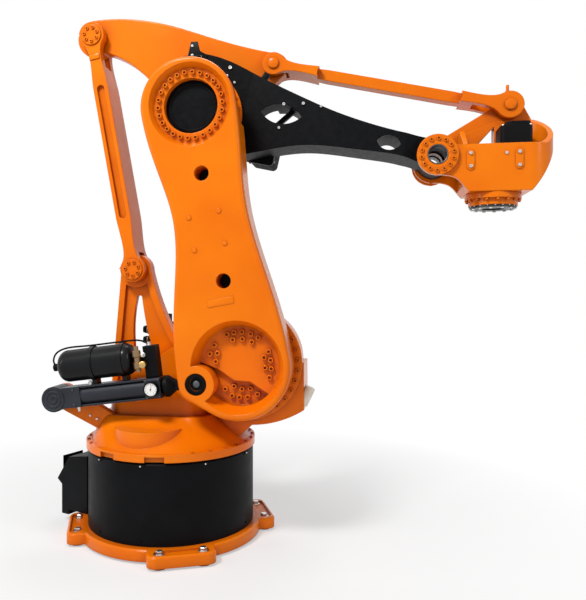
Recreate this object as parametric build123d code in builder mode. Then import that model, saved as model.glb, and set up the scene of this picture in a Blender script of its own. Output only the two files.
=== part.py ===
from build123d import *
import os
from math import acos, atan2, cos, degrees, hypot, radians, sin

# Palletising robot arm, about 3.1 m reach. Millimetres. Z is up and the origin is on the swivel axis
# at the floor. The arm works in the XZ plane: +X points forward and -Y is the near side.

os.makedirs("parts", exist_ok=True)

# Joint places and driving lengths
shoulder_x = 410.0
shoulder_z = 885.0
link_length = 1250.0
link_tilt = 10.4
arm_length = 1165.0
arm_drop = 12.7
tool_offset = 264.0
tool_drop = 236.0
rear_lever_x = 604.0
rear_lever_z = 466.0
front_lever_x = 358.0
front_lever_z = 269.0
balancer_pin_back = 194.0
balancer_pin_down = 82.0
balancer_foot_x = 505.0
balancer_foot_z = 709.0

# Places across the robot, from the near side to the far side
near_y = -340.0
link_far_y = -185.0
elbow_ring_y = -152.0
arm_near_y = -127.0
shoulder_ring_y = -120.0
column_near_y = -90.0
column_far_y = 120.0
linkage_near_y = -8.0
linkage_far_y = 58.0
lower_rod_near_y = -62.0
upper_rod_near_y = -50.0
rod_far_y = 104.0
wrist_near_y = -245.0
wrist_far_y = 10.0
balancer_y = -262.0

# Shared clearances and overruns
running_gap = 0.3
side_gap = 6.0
overrun = 5.0
seat = 1.0
cast_edge = 6.0


def from_point(point, turn, distance):
    """Point at a distance from another one in the XZ plane, turned up from +X by `turn` degrees."""
    return (point[0] + distance * cos(radians(turn)), point[1] + distance * sin(radians(turn)))


def side_plane(point, y, turn=0.0):
    """Plane at depth y that faces the near side, with its X axis turned up by `turn` degrees."""
    x_dir = (cos(radians(turn)), 0, sin(radians(turn)))
    return Plane(origin=(point[0], y, point[1]), x_dir=x_dir, z_dir=(0, -1, 0))


def local(point, centre, turn):
    """An XZ point in the axes of side_plane(centre, y, turn)."""
    dx = point[0] - centre[0]
    dz = point[1] - centre[1]
    c = cos(radians(turn))
    s = sin(radians(turn))
    return (dx * c + dz * s, dz * c - dx * s)


# Joint centres in the XZ plane
shoulder = (shoulder_x, shoulder_z)
elbow = from_point(shoulder, 90.0 + link_tilt, link_length)
wrist = from_point(elbow, -arm_drop, arm_length)
rear_low = (shoulder[0] - rear_lever_x, shoulder[1] + rear_lever_z)
rear_high = (elbow[0] - rear_lever_x, elbow[1] + rear_lever_z)
front_high = (elbow[0] + front_lever_x, elbow[1] + front_lever_z)
front_wrist = (wrist[0] + front_lever_x, wrist[1] + front_lever_z)
balancer_pin_at = (shoulder[0] - balancer_pin_back, shoulder[1] - balancer_pin_down)
balancer_foot = (-balancer_foot_x, balancer_foot_z)
tool_x = wrist[0] + tool_offset
tool_z = wrist[1] - tool_drop
tool_y = (wrist_near_y + wrist_far_y) / 2

# Pins and bores that two or more pieces share
rod_pin_r = 26.0
foot_pin_r = 30.0
balancer_pin_r = 32.0
balancer_eye_r = 60.0
balancer_eye_half = 24.0
shoulder_spigot_r = 150.0
elbow_spigot_r = 120.0
spindle_r = 110.0
wrist_tube_r = 52.0
wrist_bore_r = 45.0
wrist_ear_r = 90.0


# Base plate: a round flange with four bolting lobes on low pads, and a pocket between each bolt pair
foot_pad = 12.0
plate_height = 54.0
plate_r = 462.0
lobe_stand = 60.0
lobe_half = 158.0
lobe_lap = 100.0
lobe_corner = 44.0
bolt_outset = 18.0
bolt_spread = 12.0
bolt_hole_r = 15.0
bolt_boss_r = 36.0
bolt_pocket_r = 27.0
bolt_pocket_depth = 10.0
lobe_turn = 22.0
drum_r = 424.0
drum_top = 445.0
drum_foot = foot_pad + plate_height
plate_edge = 8.0
lobe_reach = plate_r + lobe_stand
lobe_depth = lobe_stand + lobe_lap
bolt_circle_r = plate_r + bolt_outset
lobe_turns = [lobe_turn + quarter * 360 / 4 for quarter in range(4)]
bolt_turns = [turn + side * bolt_spread for turn in lobe_turns for side in (-1, 1)]

with BuildPart() as base_plate:
    with BuildSketch(Plane.XY.offset(foot_pad)):
        Circle(plate_r)
        for turn in lobe_turns:
            with PolarLocations(lobe_reach - lobe_depth / 2, 1, start_angle=turn):
                RectangleRounded(lobe_depth, 2 * lobe_half, lobe_corner)
    extrude(amount=plate_height)
    chamfer(base_plate.faces().sort_by(Axis.Z)[-1].edges(), plate_edge)
    with BuildSketch():
        Circle(drum_r)
        for turn in bolt_turns:
            with PolarLocations(bolt_circle_r, 1, start_angle=turn):
                Circle(bolt_boss_r)
    extrude(amount=foot_pad)
    with BuildSketch(Plane.XY.offset(drum_foot)):
        for turn in lobe_turns:
            with PolarLocations(bolt_circle_r, 1, start_angle=turn):
                SlotCenterToCenter(2 * bolt_circle_r * sin(radians(bolt_spread)), 2 * bolt_pocket_r, rotation=90)
    extrude(amount=-bolt_pocket_depth, mode=Mode.SUBTRACT)
    with BuildSketch(Plane.XY.offset(-overrun)):
        for turn in bolt_turns:
            with PolarLocations(bolt_circle_r, 1, start_angle=turn):
                Circle(bolt_hole_r)
    extrude(amount=drum_foot + 2 * overrun, mode=Mode.SUBTRACT)

base_plate.part.label = "base_plate"
export_step(base_plate.part, "parts/base_plate.step")


# Base drum: the black casing round the swivel gear, with a chamfered rim
drum_edge = 6.0

with BuildPart() as base_drum:
    with BuildSketch(Plane.XY.offset(drum_foot)):
        Circle(drum_r)
    extrude(amount=drum_top - drum_foot)
    chamfer(base_drum.faces().sort_by(Axis.Z)[-1].edges(), drum_edge)

base_drum.part.label = "base_drum"
export_step(base_drum.part, "parts/base_drum.step")


# Slew ring: the bearing that shows as a dark gap under the column
slew_r = 405.0
column_foot = 453.0

with BuildPart() as slew_ring:
    with BuildSketch(Plane.XY.offset(drum_top)):
        Circle(slew_r)
    extrude(amount=column_foot - drum_top - running_gap)

slew_ring.part.label = "slew_ring"
export_step(slew_ring.part, "parts/slew_ring.step")


# Connector box on the back of the drum: an upright box under a box that leans outward
box_turn = 157.0
box_width = 460.0
box_reach = 575.0
box_foot = 40.0
box_step = 196.0
hood_reach = 610.0
hood_low = 222.0
hood_high = 350.0
hood_back = 520.0
box_lap = 40.0

with BuildPart() as connector_box:
    box_plane = Plane(
        origin=(0, 0, 0),
        x_dir=(cos(radians(box_turn)), sin(radians(box_turn)), 0),
        z_dir=(sin(radians(box_turn)), -cos(radians(box_turn)), 0),
    )
    with BuildSketch(box_plane.offset(-box_width / 2)):
        with BuildLine():
            Polyline(
                (drum_r - box_lap, drum_foot + seat),
                (lobe_reach + seat, drum_foot + seat),
                (lobe_reach + seat, box_foot),
                (box_reach, box_foot),
                (box_reach, box_step),
                (hood_reach, hood_low),
                (hood_back, hood_high),
                (drum_r - box_lap, hood_high + box_lap / 2),
                close=True,
            )
        make_face()
    extrude(amount=box_width)
    with BuildSketch(Plane.XY):
        Circle(drum_r + running_gap)
    extrude(amount=drum_top, mode=Mode.SUBTRACT)
    add(base_plate.part, mode=Mode.SUBTRACT)

connector_box.part.label = "connector_box"
export_step(connector_box.part, "parts/connector_box.step")


# Column: turntable, swelling lower casting and the side wall that carries the shoulder
turntable_r = 433.0
turntable_top = 490.0
dome_r = 405.0
waist_z = 622.0
waist_front = 246.0
waist_rear = 330.0
waist_half = 215.0
crown_z = 780.0
crown_inset = 32.0
crown_shrink = 60.0
bulge_x = -40.0
bulge_y = -205.0
bulge_r = 178.0
bulge_height = 88.0
bulge_round = 60.0
shoulder_ring_r = 284.0
column_hub_r = 268.0
lip_x = 700.0
lip_z = 652.0
lip_drop = 46.0
neck_x = 352.0
column_rear_x = 300.0
notch_width = 92.0
notch_depth = 18.0
notch_height = 26.0
notch_turns = [-118.0, -84.0]

with BuildPart() as column:
    with BuildSketch(Plane.XY.offset(column_foot)):
        Circle(turntable_r)
    extrude(amount=turntable_top - column_foot)
    with BuildSketch(Plane.XY.offset(turntable_top)):
        Circle(dome_r)
    with BuildSketch(Plane.XY.offset(waist_z)):
        with Locations(((waist_front - waist_rear) / 2, 0)):
            RectangleRounded(waist_front + waist_rear, 2 * waist_half, waist_half / 2)
    loft()
    with BuildSketch(Plane.XY.offset(waist_z)):
        with Locations(((waist_front - waist_rear) / 2, 0)):
            RectangleRounded(
                waist_front + waist_rear - 2 * crown_inset,
                2 * waist_half - 2 * crown_inset,
                waist_half / 2,
            )
    with BuildSketch(Plane.XY.offset(crown_z)):
        with Locations(((waist_front - waist_rear) / 2, 0)):
            RectangleRounded(
                waist_front + waist_rear - 2 * crown_inset - crown_shrink,
                2 * waist_half - 2 * crown_inset - crown_shrink,
                crown_shrink,
            )
    loft()
    with BuildSketch(Plane.XY.offset(turntable_top)):
        with Locations((bulge_x, bulge_y)):
            Circle(bulge_r)
    extrude(amount=bulge_height)
    fillet(column.edges().filter_by(GeomType.CIRCLE).group_by(Axis.Z)[-1], bulge_round)
    with BuildSketch(side_plane((0, 0), column_far_y)):
        with BuildLine():
            rear_foot = (-column_rear_x, turntable_top)
            rear_top = (-column_rear_x + crown_shrink, crown_z)
            hub_top = from_point(shoulder, 135.0, column_hub_r)
            tip = (lip_x, lip_z)
            neck_top = (neck_x + column_hub_r / 3, (lip_z + turntable_top) / 2)
            Polyline(rear_foot, rear_top, hub_top, shoulder, (lip_x - seat, shoulder_z), tip)
            ThreePointArc(tip, (lip_x - column_hub_r / 3, lip_z - lip_drop), neck_top)
            Polyline(neck_top, (neck_x, turntable_top), rear_foot)
        make_face()
        with Locations(shoulder):
            Circle(column_hub_r)
    extrude(amount=column_far_y - column_near_y)
    with BuildSketch(side_plane(shoulder, column_near_y)):
        Circle(shoulder_ring_r + side_gap)
    extrude(amount=column_near_y - near_y, mode=Mode.SUBTRACT)
    for turn in notch_turns:
        with BuildSketch(Plane.XY.offset(column_foot)):
            with PolarLocations(turntable_r, 1, start_angle=turn):
                Rectangle(2 * notch_depth, notch_width)
        extrude(amount=notch_height, mode=Mode.SUBTRACT)

column.part.label = "column"
export_step(column.part, "parts/column.step")


# Shoulder ring: bearing ring between the column and the link arm
with BuildPart() as shoulder_ring:
    with BuildSketch(side_plane(shoulder, column_near_y)):
        Circle(shoulder_ring_r)
        Circle(shoulder_spigot_r + running_gap, mode=Mode.SUBTRACT)
    extrude(amount=column_near_y - shoulder_ring_y)

shoulder_ring.part.label = "shoulder_ring"
export_step(shoulder_ring.part, "parts/shoulder_ring.step")


# Linkage bracket: A-shaped stand for the lower pivot, with rims, sunk panels and a long window
bracket_head_r = 80.0
bracket_rear = 330.0
bracket_front = 190.0
bracket_foot_z = 720.0
bracket_rim = 30.0
panel_sink = 18.0
window_top = 150.0
window_top_r = 14.0
window_foot_half = 62.0
window_foot_x = -118.0
window_foot_z = 800.0
window_bulge = 26.0


def bracket_outline(inset):
    """Outline of the stand, moved inward by `inset`."""
    top = rear_low[1] - inset
    rear_top = (rear_low[0] - bracket_head_r + inset, top)
    rear_foot = (-bracket_rear + inset, bracket_foot_z)
    front_foot = (bracket_front - inset, bracket_foot_z + bracket_rim)
    front_top = (rear_low[0] + bracket_head_r - inset, top)
    middle = ((front_foot[0] + front_top[0]) / 2, (front_foot[1] + front_top[1]) / 2)
    Polyline(front_top, rear_top, rear_foot, (-bracket_rear + inset, turntable_top), (front_foot[0], turntable_top))
    Line((front_foot[0], turntable_top), front_foot)
    ThreePointArc(front_foot, (middle[0] - bracket_rim, middle[1] - bracket_rim), front_top)


with BuildPart() as linkage_bracket:
    with BuildSketch(side_plane((0, 0), linkage_far_y)):
        with BuildLine():
            bracket_outline(0)
        make_face()
        with Locations(rear_low):
            Circle(bracket_head_r)
    extrude(amount=linkage_far_y - linkage_near_y)
    for y_face, amount in ((linkage_near_y + panel_sink, panel_sink), (linkage_far_y, panel_sink)):
        with BuildSketch(side_plane((0, 0), y_face)):
            with BuildLine():
                bracket_outline(bracket_rim)
            make_face()
            with Locations(rear_low):
                Circle(bracket_head_r + bracket_rim / 2, mode=Mode.SUBTRACT)
        extrude(amount=amount, mode=Mode.SUBTRACT)
    with BuildSketch(side_plane((0, 0), linkage_far_y + overrun)):
        with BuildLine():
            slot_top = (rear_low[0] + window_top_r, rear_low[1] - window_top)
            slot_left = (window_foot_x - window_foot_half, window_foot_z)
            slot_right = (window_foot_x + window_foot_half, window_foot_z)
            left_top = (slot_top[0] - window_top_r, slot_top[1])
            right_top = (slot_top[0] + window_top_r, slot_top[1])
            ThreePointArc(left_top, (slot_top[0], slot_top[1] + window_top_r), right_top)
            middle = ((right_top[0] + slot_right[0]) / 2, (right_top[1] + slot_right[1]) / 2)
            ThreePointArc(right_top, (middle[0] - window_bulge / 2, middle[1] - window_bulge / 2), slot_right)
            Line(slot_right, slot_left)
            middle = ((left_top[0] + slot_left[0]) / 2, (left_top[1] + slot_left[1]) / 2)
            ThreePointArc(slot_left, (middle[0] - window_bulge, middle[1]), left_top)
        make_face()
    extrude(amount=linkage_far_y - linkage_near_y + 2 * overrun, mode=Mode.SUBTRACT)
    with BuildSketch(side_plane(rear_low, linkage_far_y + overrun)):
        Circle(rod_pin_r + running_gap)
    extrude(amount=linkage_far_y - linkage_near_y + 2 * overrun, mode=Mode.SUBTRACT)
    add(column.part, mode=Mode.SUBTRACT)

linkage_bracket.part.label = "linkage_bracket"
export_step(linkage_bracket.part, "parts/linkage_bracket.step")


# Balancer bracket: a sloping bar from the turntable to the ear behind the balancer's rear end
yoke_half = 50.0
ear_thick = 40.0
ear_boss_r = 62.0
ear_y = balancer_y + yoke_half + side_gap + ear_thick
bar_width = 66.0
bar_foot_x = -60.0
bar_foot_y = -330.0
bar_thick = 26.0

with BuildPart() as balancer_bracket:
    with BuildSketch(side_plane(balancer_foot, ear_y)):
        Circle(ear_boss_r)
        with BuildLine():
            foot = local((bar_foot_x, turntable_top + seat), balancer_foot, 0)
            Polyline(
                (-ear_boss_r / 2, -ear_boss_r * sin(radians(60))),
                (foot[0] - 2 * bar_width, foot[1]),
                foot,
                (foot[0], foot[1] + bar_thick),
                (ear_boss_r / 2, ear_boss_r * sin(radians(60))),
                close=True,
            )
        make_face()
    extrude(amount=ear_thick)
    add(column.part, mode=Mode.SUBTRACT)
    with BuildSketch(side_plane(balancer_foot, ear_y + overrun)):
        Circle(foot_pin_r)
    extrude(amount=ear_thick + 2 * overrun, mode=Mode.SUBTRACT)

balancer_bracket.part.label = "balancer_bracket"
export_step(balancer_bracket.part, "parts/balancer_bracket.step")

with BuildPart() as balancer_foot_pin:
    with BuildSketch(side_plane(balancer_foot, ear_y)):
        Circle(foot_pin_r)
    extrude(amount=ear_y - balancer_y + yoke_half)

balancer_foot_pin.part.label = "balancer_foot_pin"
export_step(balancer_foot_pin.part, "parts/balancer_foot_pin.step")


# Stop buffer: a cream peg that leans forward on the column's front lip
buffer_r = 26.0
buffer_length = 92.0
buffer_lean = 25.0
buffer_sink = 10.0

with BuildPart() as stop_buffer:
    lean = radians(buffer_lean)
    with BuildSketch(
        Plane(
            origin=(lip_x - buffer_sink, column_near_y + buffer_r + seat, lip_z + buffer_r),
            x_dir=(cos(lean), 0, -sin(lean)),
            z_dir=(sin(lean), 0, cos(lean)),
        )
    ):
        Circle(buffer_r)
    extrude(amount=buffer_length)
    add(column.part, mode=Mode.SUBTRACT)

stop_buffer.part.label = "stop_buffer"
export_step(stop_buffer.part, "parts/stop_buffer.step")


# Servo motors: square foot, ribbed body and a round encoder cap
motor_r = 76.0
motor_length = 265.0
motor_cap = 45.0
motor_foot = 28.0
motor_body_share = 0.9
motor_cap_share = 0.72
rib_count = 5
rib_depth = 5.0


def motor(plane, length):
    """One servo motor standing on a plane."""
    body_half = motor_body_share * motor_r
    body_length = length - motor_foot - motor_cap
    pitch = body_length / (2 * rib_count + 1)
    with BuildPart() as body:
        with BuildSketch(plane):
            RectangleRounded(2 * motor_r, 2 * motor_r, motor_r / 4)
        extrude(amount=motor_foot)
        with BuildSketch(plane.offset(motor_foot)):
            RectangleRounded(2 * (body_half - rib_depth), 2 * (body_half - rib_depth), motor_r / 3)
        extrude(amount=body_length)
        for rib in range(rib_count + 1):
            with BuildSketch(plane.offset(motor_foot + 2 * rib * pitch)):
                RectangleRounded(2 * body_half, 2 * body_half, motor_r / 3)
            extrude(amount=pitch)
        with BuildSketch(plane.offset(length - motor_cap)):
            Circle(motor_cap_share * motor_r)
        extrude(amount=motor_cap)
    return body.part


swivel_motor_x = -118.0
swivel_motor_y = 205.0
swivel_box_top = 800.0
swivel_box_half = 90.0

with BuildPart() as swivel_gearbox:
    with BuildSketch(Plane.XY.offset(turntable_top)):
        with Locations((swivel_motor_x, swivel_motor_y)):
            RectangleRounded(2 * swivel_box_half, 2 * swivel_box_half, swivel_box_half / 3)
    extrude(amount=swivel_box_top - turntable_top)
    add(column.part, mode=Mode.SUBTRACT)

swivel_gearbox.part.label = "swivel_gearbox"
export_step(swivel_gearbox.part, "parts/swivel_gearbox.step")

swivel_motor_plane = Plane(
    origin=(swivel_motor_x, swivel_motor_y, swivel_box_top), x_dir=(1, 0, 0), z_dir=(0, 0, 1)
)
swivel_motor_part = motor(swivel_motor_plane, motor_length + motor_cap)
swivel_motor_part.label = "swivel_motor"
export_step(swivel_motor_part, "parts/swivel_motor.step")

shoulder_motor_plane = Plane(
    origin=(shoulder[0], column_far_y, shoulder[1]), x_dir=(1, 0, 0), z_dir=(0, 1, 0)
)
shoulder_motor_part = motor(shoulder_motor_plane, motor_length)
shoulder_motor_part.label = "shoulder_motor"
export_step(shoulder_motor_part, "parts/shoulder_motor.step")


# Link arm: long waisted casting with a bolted recess at each end and a lug for the balancer pin
link_foot_r = 250.0
link_head_r = 230.0
head_shift = 12.0
head_flange = 55.0
head_step_low = 118.0
link_waist = 180.0
link_waist_share = 0.6
link_edge = 20.0
link_hub_r = 230.0
link_head_hub_r = 178.0
pin_boss_r = 88.0
pin_wall = 20.0
head_recess_r = 197.0
head_recess_low_r = 178.0
foot_well_r = 220.0
foot_well_floor_r = 190.0
foot_well_depth = 72.0
foot_pocket_depth = 40.0
ledge_shares = [(-1.1, 0.12), (-0.54, -0.08), (-0.12, -0.36), (0.27, -0.38), (0.9, -0.78)]
recess_depth = 30.0
cover_r = 130.0
cover_well = 40.0
link_hole_r = 35.0
link_hole_depth = 100.0
link_hole_shares = [(0.735, 0.0), (0.325, 0.01)]
sight_hole_r = 15.0
sight_shift = 19.0
slot_reach = 160.0
slot_top = 84.0
link_thick = link_far_y - near_y
pin_local = local(balancer_pin_at, shoulder, link_tilt)
waist_rise = link_waist_share * link_length
head_left = (-head_shift - link_head_r, link_length)
head_right = (link_head_r - head_shift, link_length)
foot_right = (link_foot_r, 0)
pin_left = (pin_local[0] - pin_boss_r, pin_local[1])
boss_reach = hypot(pin_local[0], pin_local[1])
boss_turn = 180 + degrees(atan2(-pin_local[1], -pin_local[0]) + acos((link_foot_r - pin_boss_r) / boss_reach))
foot_touch = from_point((0, 0), boss_turn, link_foot_r)
boss_touch = from_point(pin_local, boss_turn, pin_boss_r)

with BuildPart() as foot_well:
    with BuildSketch(side_plane(shoulder, near_y - overrun)):
        Circle(foot_well_r)
    with BuildSketch(side_plane(shoulder, near_y + foot_well_depth)):
        Circle(foot_well_floor_r)
    loft()
    with BuildSketch(side_plane(shoulder, near_y + foot_well_depth + foot_pocket_depth)):
        with BuildLine():
            ledge = [(u * foot_well_floor_r, v * foot_well_floor_r) for u, v in ledge_shares]
            Polyline(*ledge, (2 * foot_well_r, -2 * foot_well_r), (-2 * foot_well_r, -2 * foot_well_r), close=True)
        make_face()
        Circle(foot_well_floor_r, mode=Mode.INTERSECT)
    extrude(amount=foot_pocket_depth)
    with BuildSketch(side_plane(balancer_pin_at, link_far_y)):
        Circle(pin_boss_r)
    extrude(amount=link_thick + 2 * overrun, mode=Mode.SUBTRACT)

with BuildPart() as link_arm:
    with BuildSketch(side_plane(shoulder, link_far_y, link_tilt)):
        with BuildLine():
            Spline(pin_left, (-link_waist, waist_rise), head_left, tangents=((0, 1), (0, 1)))
            ThreePointArc(head_left, (-head_shift, link_length + link_head_r), head_right)
            Spline(head_right, (link_waist, waist_rise), foot_right, tangents=((0, -1), (0, -1)))
            ThreePointArc(foot_right, (0, -link_foot_r), foot_touch)
            Line(foot_touch, boss_touch)
            ThreePointArc(boss_touch, from_point(pin_local, (boss_turn + 180) / 2, pin_boss_r), pin_left)
        make_face()
    extrude(amount=link_thick)
    fillet(link_arm.faces().sort_by(Axis.Y)[0].edges(), link_edge)
    with BuildSketch(side_plane(shoulder, shoulder_ring_y - running_gap)):
        Circle(link_hub_r)
    extrude(amount=shoulder_ring_y - running_gap - link_far_y)
    with BuildSketch(side_plane(shoulder, column_near_y - running_gap)):
        Circle(shoulder_spigot_r)
    extrude(amount=column_near_y - running_gap - link_far_y)
    with BuildSketch(side_plane(elbow, link_far_y + overrun, link_tilt)):
        Circle(link_head_r + head_shift + overrun)
        with Locations((0, -head_step_low - link_head_r)):
            Rectangle(4 * link_head_r, 2 * link_head_r, mode=Mode.SUBTRACT)
    extrude(amount=link_thick + overrun - head_flange, mode=Mode.SUBTRACT)
    with BuildSketch(side_plane(elbow, elbow_ring_y - running_gap)):
        Circle(link_head_hub_r)
    extrude(amount=elbow_ring_y - running_gap - near_y - head_flange / 2)
    with BuildSketch(side_plane(elbow, arm_near_y - running_gap)):
        Circle(elbow_spigot_r)
    extrude(amount=arm_near_y - running_gap - link_far_y)
    with BuildSketch(side_plane(elbow, near_y)):
        Circle(head_recess_r)
    with BuildSketch(side_plane(elbow, near_y + recess_depth)):
        Circle(head_recess_low_r)
    loft(mode=Mode.SUBTRACT)
    with BuildSketch(side_plane(elbow, near_y + recess_depth + cover_well)):
        Circle(cover_r + running_gap)
    extrude(amount=cover_well, mode=Mode.SUBTRACT)
    add(foot_well.part, mode=Mode.SUBTRACT)
    with BuildSketch(side_plane(balancer_pin_at, balancer_y + balancer_eye_half + side_gap)):
        Circle(balancer_eye_r + side_gap)
        with BuildLine():
            Polyline(
                (0, 0),
                (balancer_eye_r, 0),
                (balancer_eye_r, -slot_reach),
                (-slot_reach, -slot_reach),
                (-slot_reach, slot_top),
                (0, slot_top),
                close=True,
            )
        make_face()
    extrude(amount=2 * (balancer_eye_half + side_gap), mode=Mode.SUBTRACT)
    with BuildSketch(side_plane(balancer_pin_at, link_far_y + overrun)):
        Circle(balancer_pin_r)
    extrude(amount=link_thick + 2 * overrun, mode=Mode.SUBTRACT)
    with BuildSketch(side_plane(balancer_pin_at, near_y + pin_wall)):
        Circle(balancer_pin_r + pin_wall)
    extrude(amount=pin_wall + overrun, mode=Mode.SUBTRACT)
    with BuildSketch(side_plane(shoulder, near_y + link_hole_depth, link_tilt)):
        for along_share, side_share in link_hole_shares:
            with Locations((side_share * link_length, along_share * link_length)):
                Circle(link_hole_r)
    extrude(amount=link_hole_depth + overrun, mode=Mode.SUBTRACT)
    with BuildSketch(side_plane(shoulder, link_far_y + overrun, link_tilt)):
        with Locations(
            (
                link_hole_shares[1][1] * link_length + sight_shift,
                link_hole_shares[1][0] * link_length + sight_shift / 2,
            )
        ):
            Circle(sight_hole_r)
    extrude(amount=link_thick - link_hole_depth + 2 * overrun, mode=Mode.SUBTRACT)

link_arm.part.label = "link_arm"
export_step(link_arm.part, "parts/link_arm.step")

with BuildPart() as balancer_pin:
    with BuildSketch(side_plane(balancer_pin_at, link_far_y)):
        Circle(balancer_pin_r)
    extrude(amount=link_thick - pin_wall)

balancer_pin.part.label = "balancer_pin"
export_step(balancer_pin.part, "parts/balancer_pin.step")


# Elbow cover: the black disc sunk in the link arm's upper recess
cover_thick = 5.0

with BuildPart() as elbow_cover:
    with BuildSketch(side_plane(elbow, near_y + recess_depth + cover_well)):
        Circle(cover_r)
    extrude(amount=cover_thick)

elbow_cover.part.label = "elbow_cover"
export_step(elbow_cover.part, "parts/elbow_cover.step")


# Arm: the black casting from the elbow to the wrist, with two lens-shaped openings
arm_root_top = 305.0
arm_root_bottom = 165.0
arm_root_r = 218.0
arm_nose_r = 74.0
arm_nose_near_y = wrist_near_y + 25.0
arm_nose_far_y = linkage_near_y - side_gap
arm_wide_near_y = -232.0
arm_wide_far_y = 10.0
arm_root_far_y = 46.0
arm_thin_far_y = -22.0
arm_wide_share = 0.87
arm_top_shares = [(-0.03, 1.0), (0.08, 0.95), (0.22, 0.79), (0.43, 0.55), (0.56, 0.42), (0.69, 0.325), (0.8, 0.27)]
arm_foot_shares = [(0.92, -0.24), (0.71, -0.2), (0.58, -0.24), (0.47, -0.33), (0.3, -0.7), (0.17, -1.02)]
rocker_room = 185.0
rocker_room_low = 40.0
rocker_room_front = 470.0
rocker_room_high = 215.0
hump_share = 0.6
hump_cut_y = -66.0
lens_shares = [(0.345, 0.065, 0.178, 0.083), (0.806, 0.018, 0.095, 0.06)]
lens_rib = 12.0
lens_rib_turn = 52.0

with BuildPart() as arm:
    with BuildSketch(side_plane(elbow, 0, -arm_drop)):
        Circle(arm_root_r)
        with Locations((arm_length, 0)):
            Circle(arm_nose_r)
        with BuildLine():
            Spline(
                *[(u * arm_length, v * arm_root_top) for u, v in arm_top_shares],
                (arm_length, arm_nose_r),
            )
            Line((arm_length, arm_nose_r), (arm_length, -arm_nose_r))
            Spline(
                (arm_length, -arm_nose_r),
                *[(u * arm_length, v * arm_root_bottom) for u, v in arm_foot_shares],
            )
            last_foot = (arm_foot_shares[-1][0] * arm_length, arm_foot_shares[-1][1] * arm_root_bottom)
            Polyline(last_foot, (0, -arm_root_r), (-arm_root_r, 0))
            Line((-arm_root_r, 0), (arm_top_shares[0][0] * arm_length, arm_root_top))
        make_face()
    extrude(amount=-near_y, both=True)
    arm_plan = Plane(
        origin=(elbow[0], 0, elbow[1]),
        x_dir=(cos(radians(arm_drop)), 0, -sin(radians(arm_drop))),
        z_dir=(sin(radians(arm_drop)), 0, cos(radians(arm_drop))),
    )
    with BuildSketch(arm_plan):
        with BuildLine():
            Polyline(
                (-2 * arm_root_r, arm_near_y),
                (arm_root_r, arm_near_y),
                (arm_wide_share * arm_length, arm_wide_near_y),
                (arm_length - wrist_ear_r - side_gap, arm_nose_near_y),
                (arm_length + arm_root_r, arm_nose_near_y),
                (arm_length + arm_root_r, arm_nose_far_y),
                (arm_length - wrist_ear_r - side_gap, arm_nose_far_y),
                (arm_wide_share * arm_length, arm_wide_far_y),
                (arm_root_r, arm_root_far_y),
                (-2 * arm_root_r, arm_root_far_y),
                close=True,
            )
        make_face()
    extrude(amount=arm_length, both=True, mode=Mode.INTERSECT)
    with BuildSketch(side_plane(elbow, arm_root_far_y + overrun, -arm_drop)):
        with BuildLine():
            Polyline(
                (-2 * arm_root_r, -2 * arm_root_r),
                (rocker_room, -2 * arm_root_r),
                (rocker_room, -rocker_room_low),
                (rocker_room_front, rocker_room_high),
                (rocker_room_front, 2 * arm_root_top),
                (-2 * arm_root_r, 2 * arm_root_top),
                close=True,
            )
        make_face()
    extrude(amount=arm_root_far_y + overrun - arm_thin_far_y, mode=Mode.SUBTRACT)
    with BuildSketch(side_plane(elbow, arm_thin_far_y + overrun, -arm_drop)):
        with Locations((0, arm_root_top)):
            Rectangle(2 * arm_length, 2 * (1 - hump_share) * arm_root_top)
    extrude(amount=arm_thin_far_y + overrun - hump_cut_y, mode=Mode.SUBTRACT)
    with BuildSketch(side_plane(elbow, linkage_far_y + running_gap)):
        Circle(spindle_r)
    extrude(amount=linkage_far_y + running_gap - arm_thin_far_y)
    for centre_share, rise_share, length_share, height_share in lens_shares:
        with BuildSketch(side_plane(elbow, 0, -arm_drop)):
            with BuildLine():
                centre = (centre_share * arm_length, rise_share * arm_length)
                half = length_share * arm_length / 2
                rise = height_share * arm_length / 2
                tips = [(centre[0] - half, centre[1]), (centre[0] + half, centre[1])]
                ThreePointArc(tips[0], (centre[0], centre[1] + rise), tips[1])
                ThreePointArc(tips[1], (centre[0], centre[1] - rise), tips[0])
            make_face()
        extrude(amount=-near_y, both=True, mode=Mode.SUBTRACT)
    rib_centre = (lens_shares[0][0] * arm_length, lens_shares[0][1] * arm_length)
    with BuildSketch(side_plane(elbow, arm_thin_far_y, -arm_drop)):
        with Locations(Location((rib_centre[0], rib_centre[1], 0), (0, 0, lens_rib_turn))):
            Rectangle(lens_shares[0][3] * 1.4 * arm_length, 2 * lens_rib)
    extrude(amount=2 * lens_rib)
    with BuildSketch(side_plane(wrist, 0)):
        Circle(wrist_tube_r + running_gap)
    extrude(amount=-near_y, both=True, mode=Mode.SUBTRACT)

arm.part.label = "arm"
export_step(arm.part, "parts/arm.step")


# Elbow ring: bolted ring on the arm, facing the link arm
elbow_ring_r = 215.0

with BuildPart() as elbow_ring:
    with BuildSketch(side_plane(elbow, arm_near_y)):
        Circle(elbow_ring_r)
        Circle(elbow_spigot_r + running_gap, mode=Mode.SUBTRACT)
    extrude(amount=arm_near_y - elbow_ring_y)

elbow_ring.part.label = "elbow_ring"
export_step(elbow_ring.part, "parts/elbow_ring.step")


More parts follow.
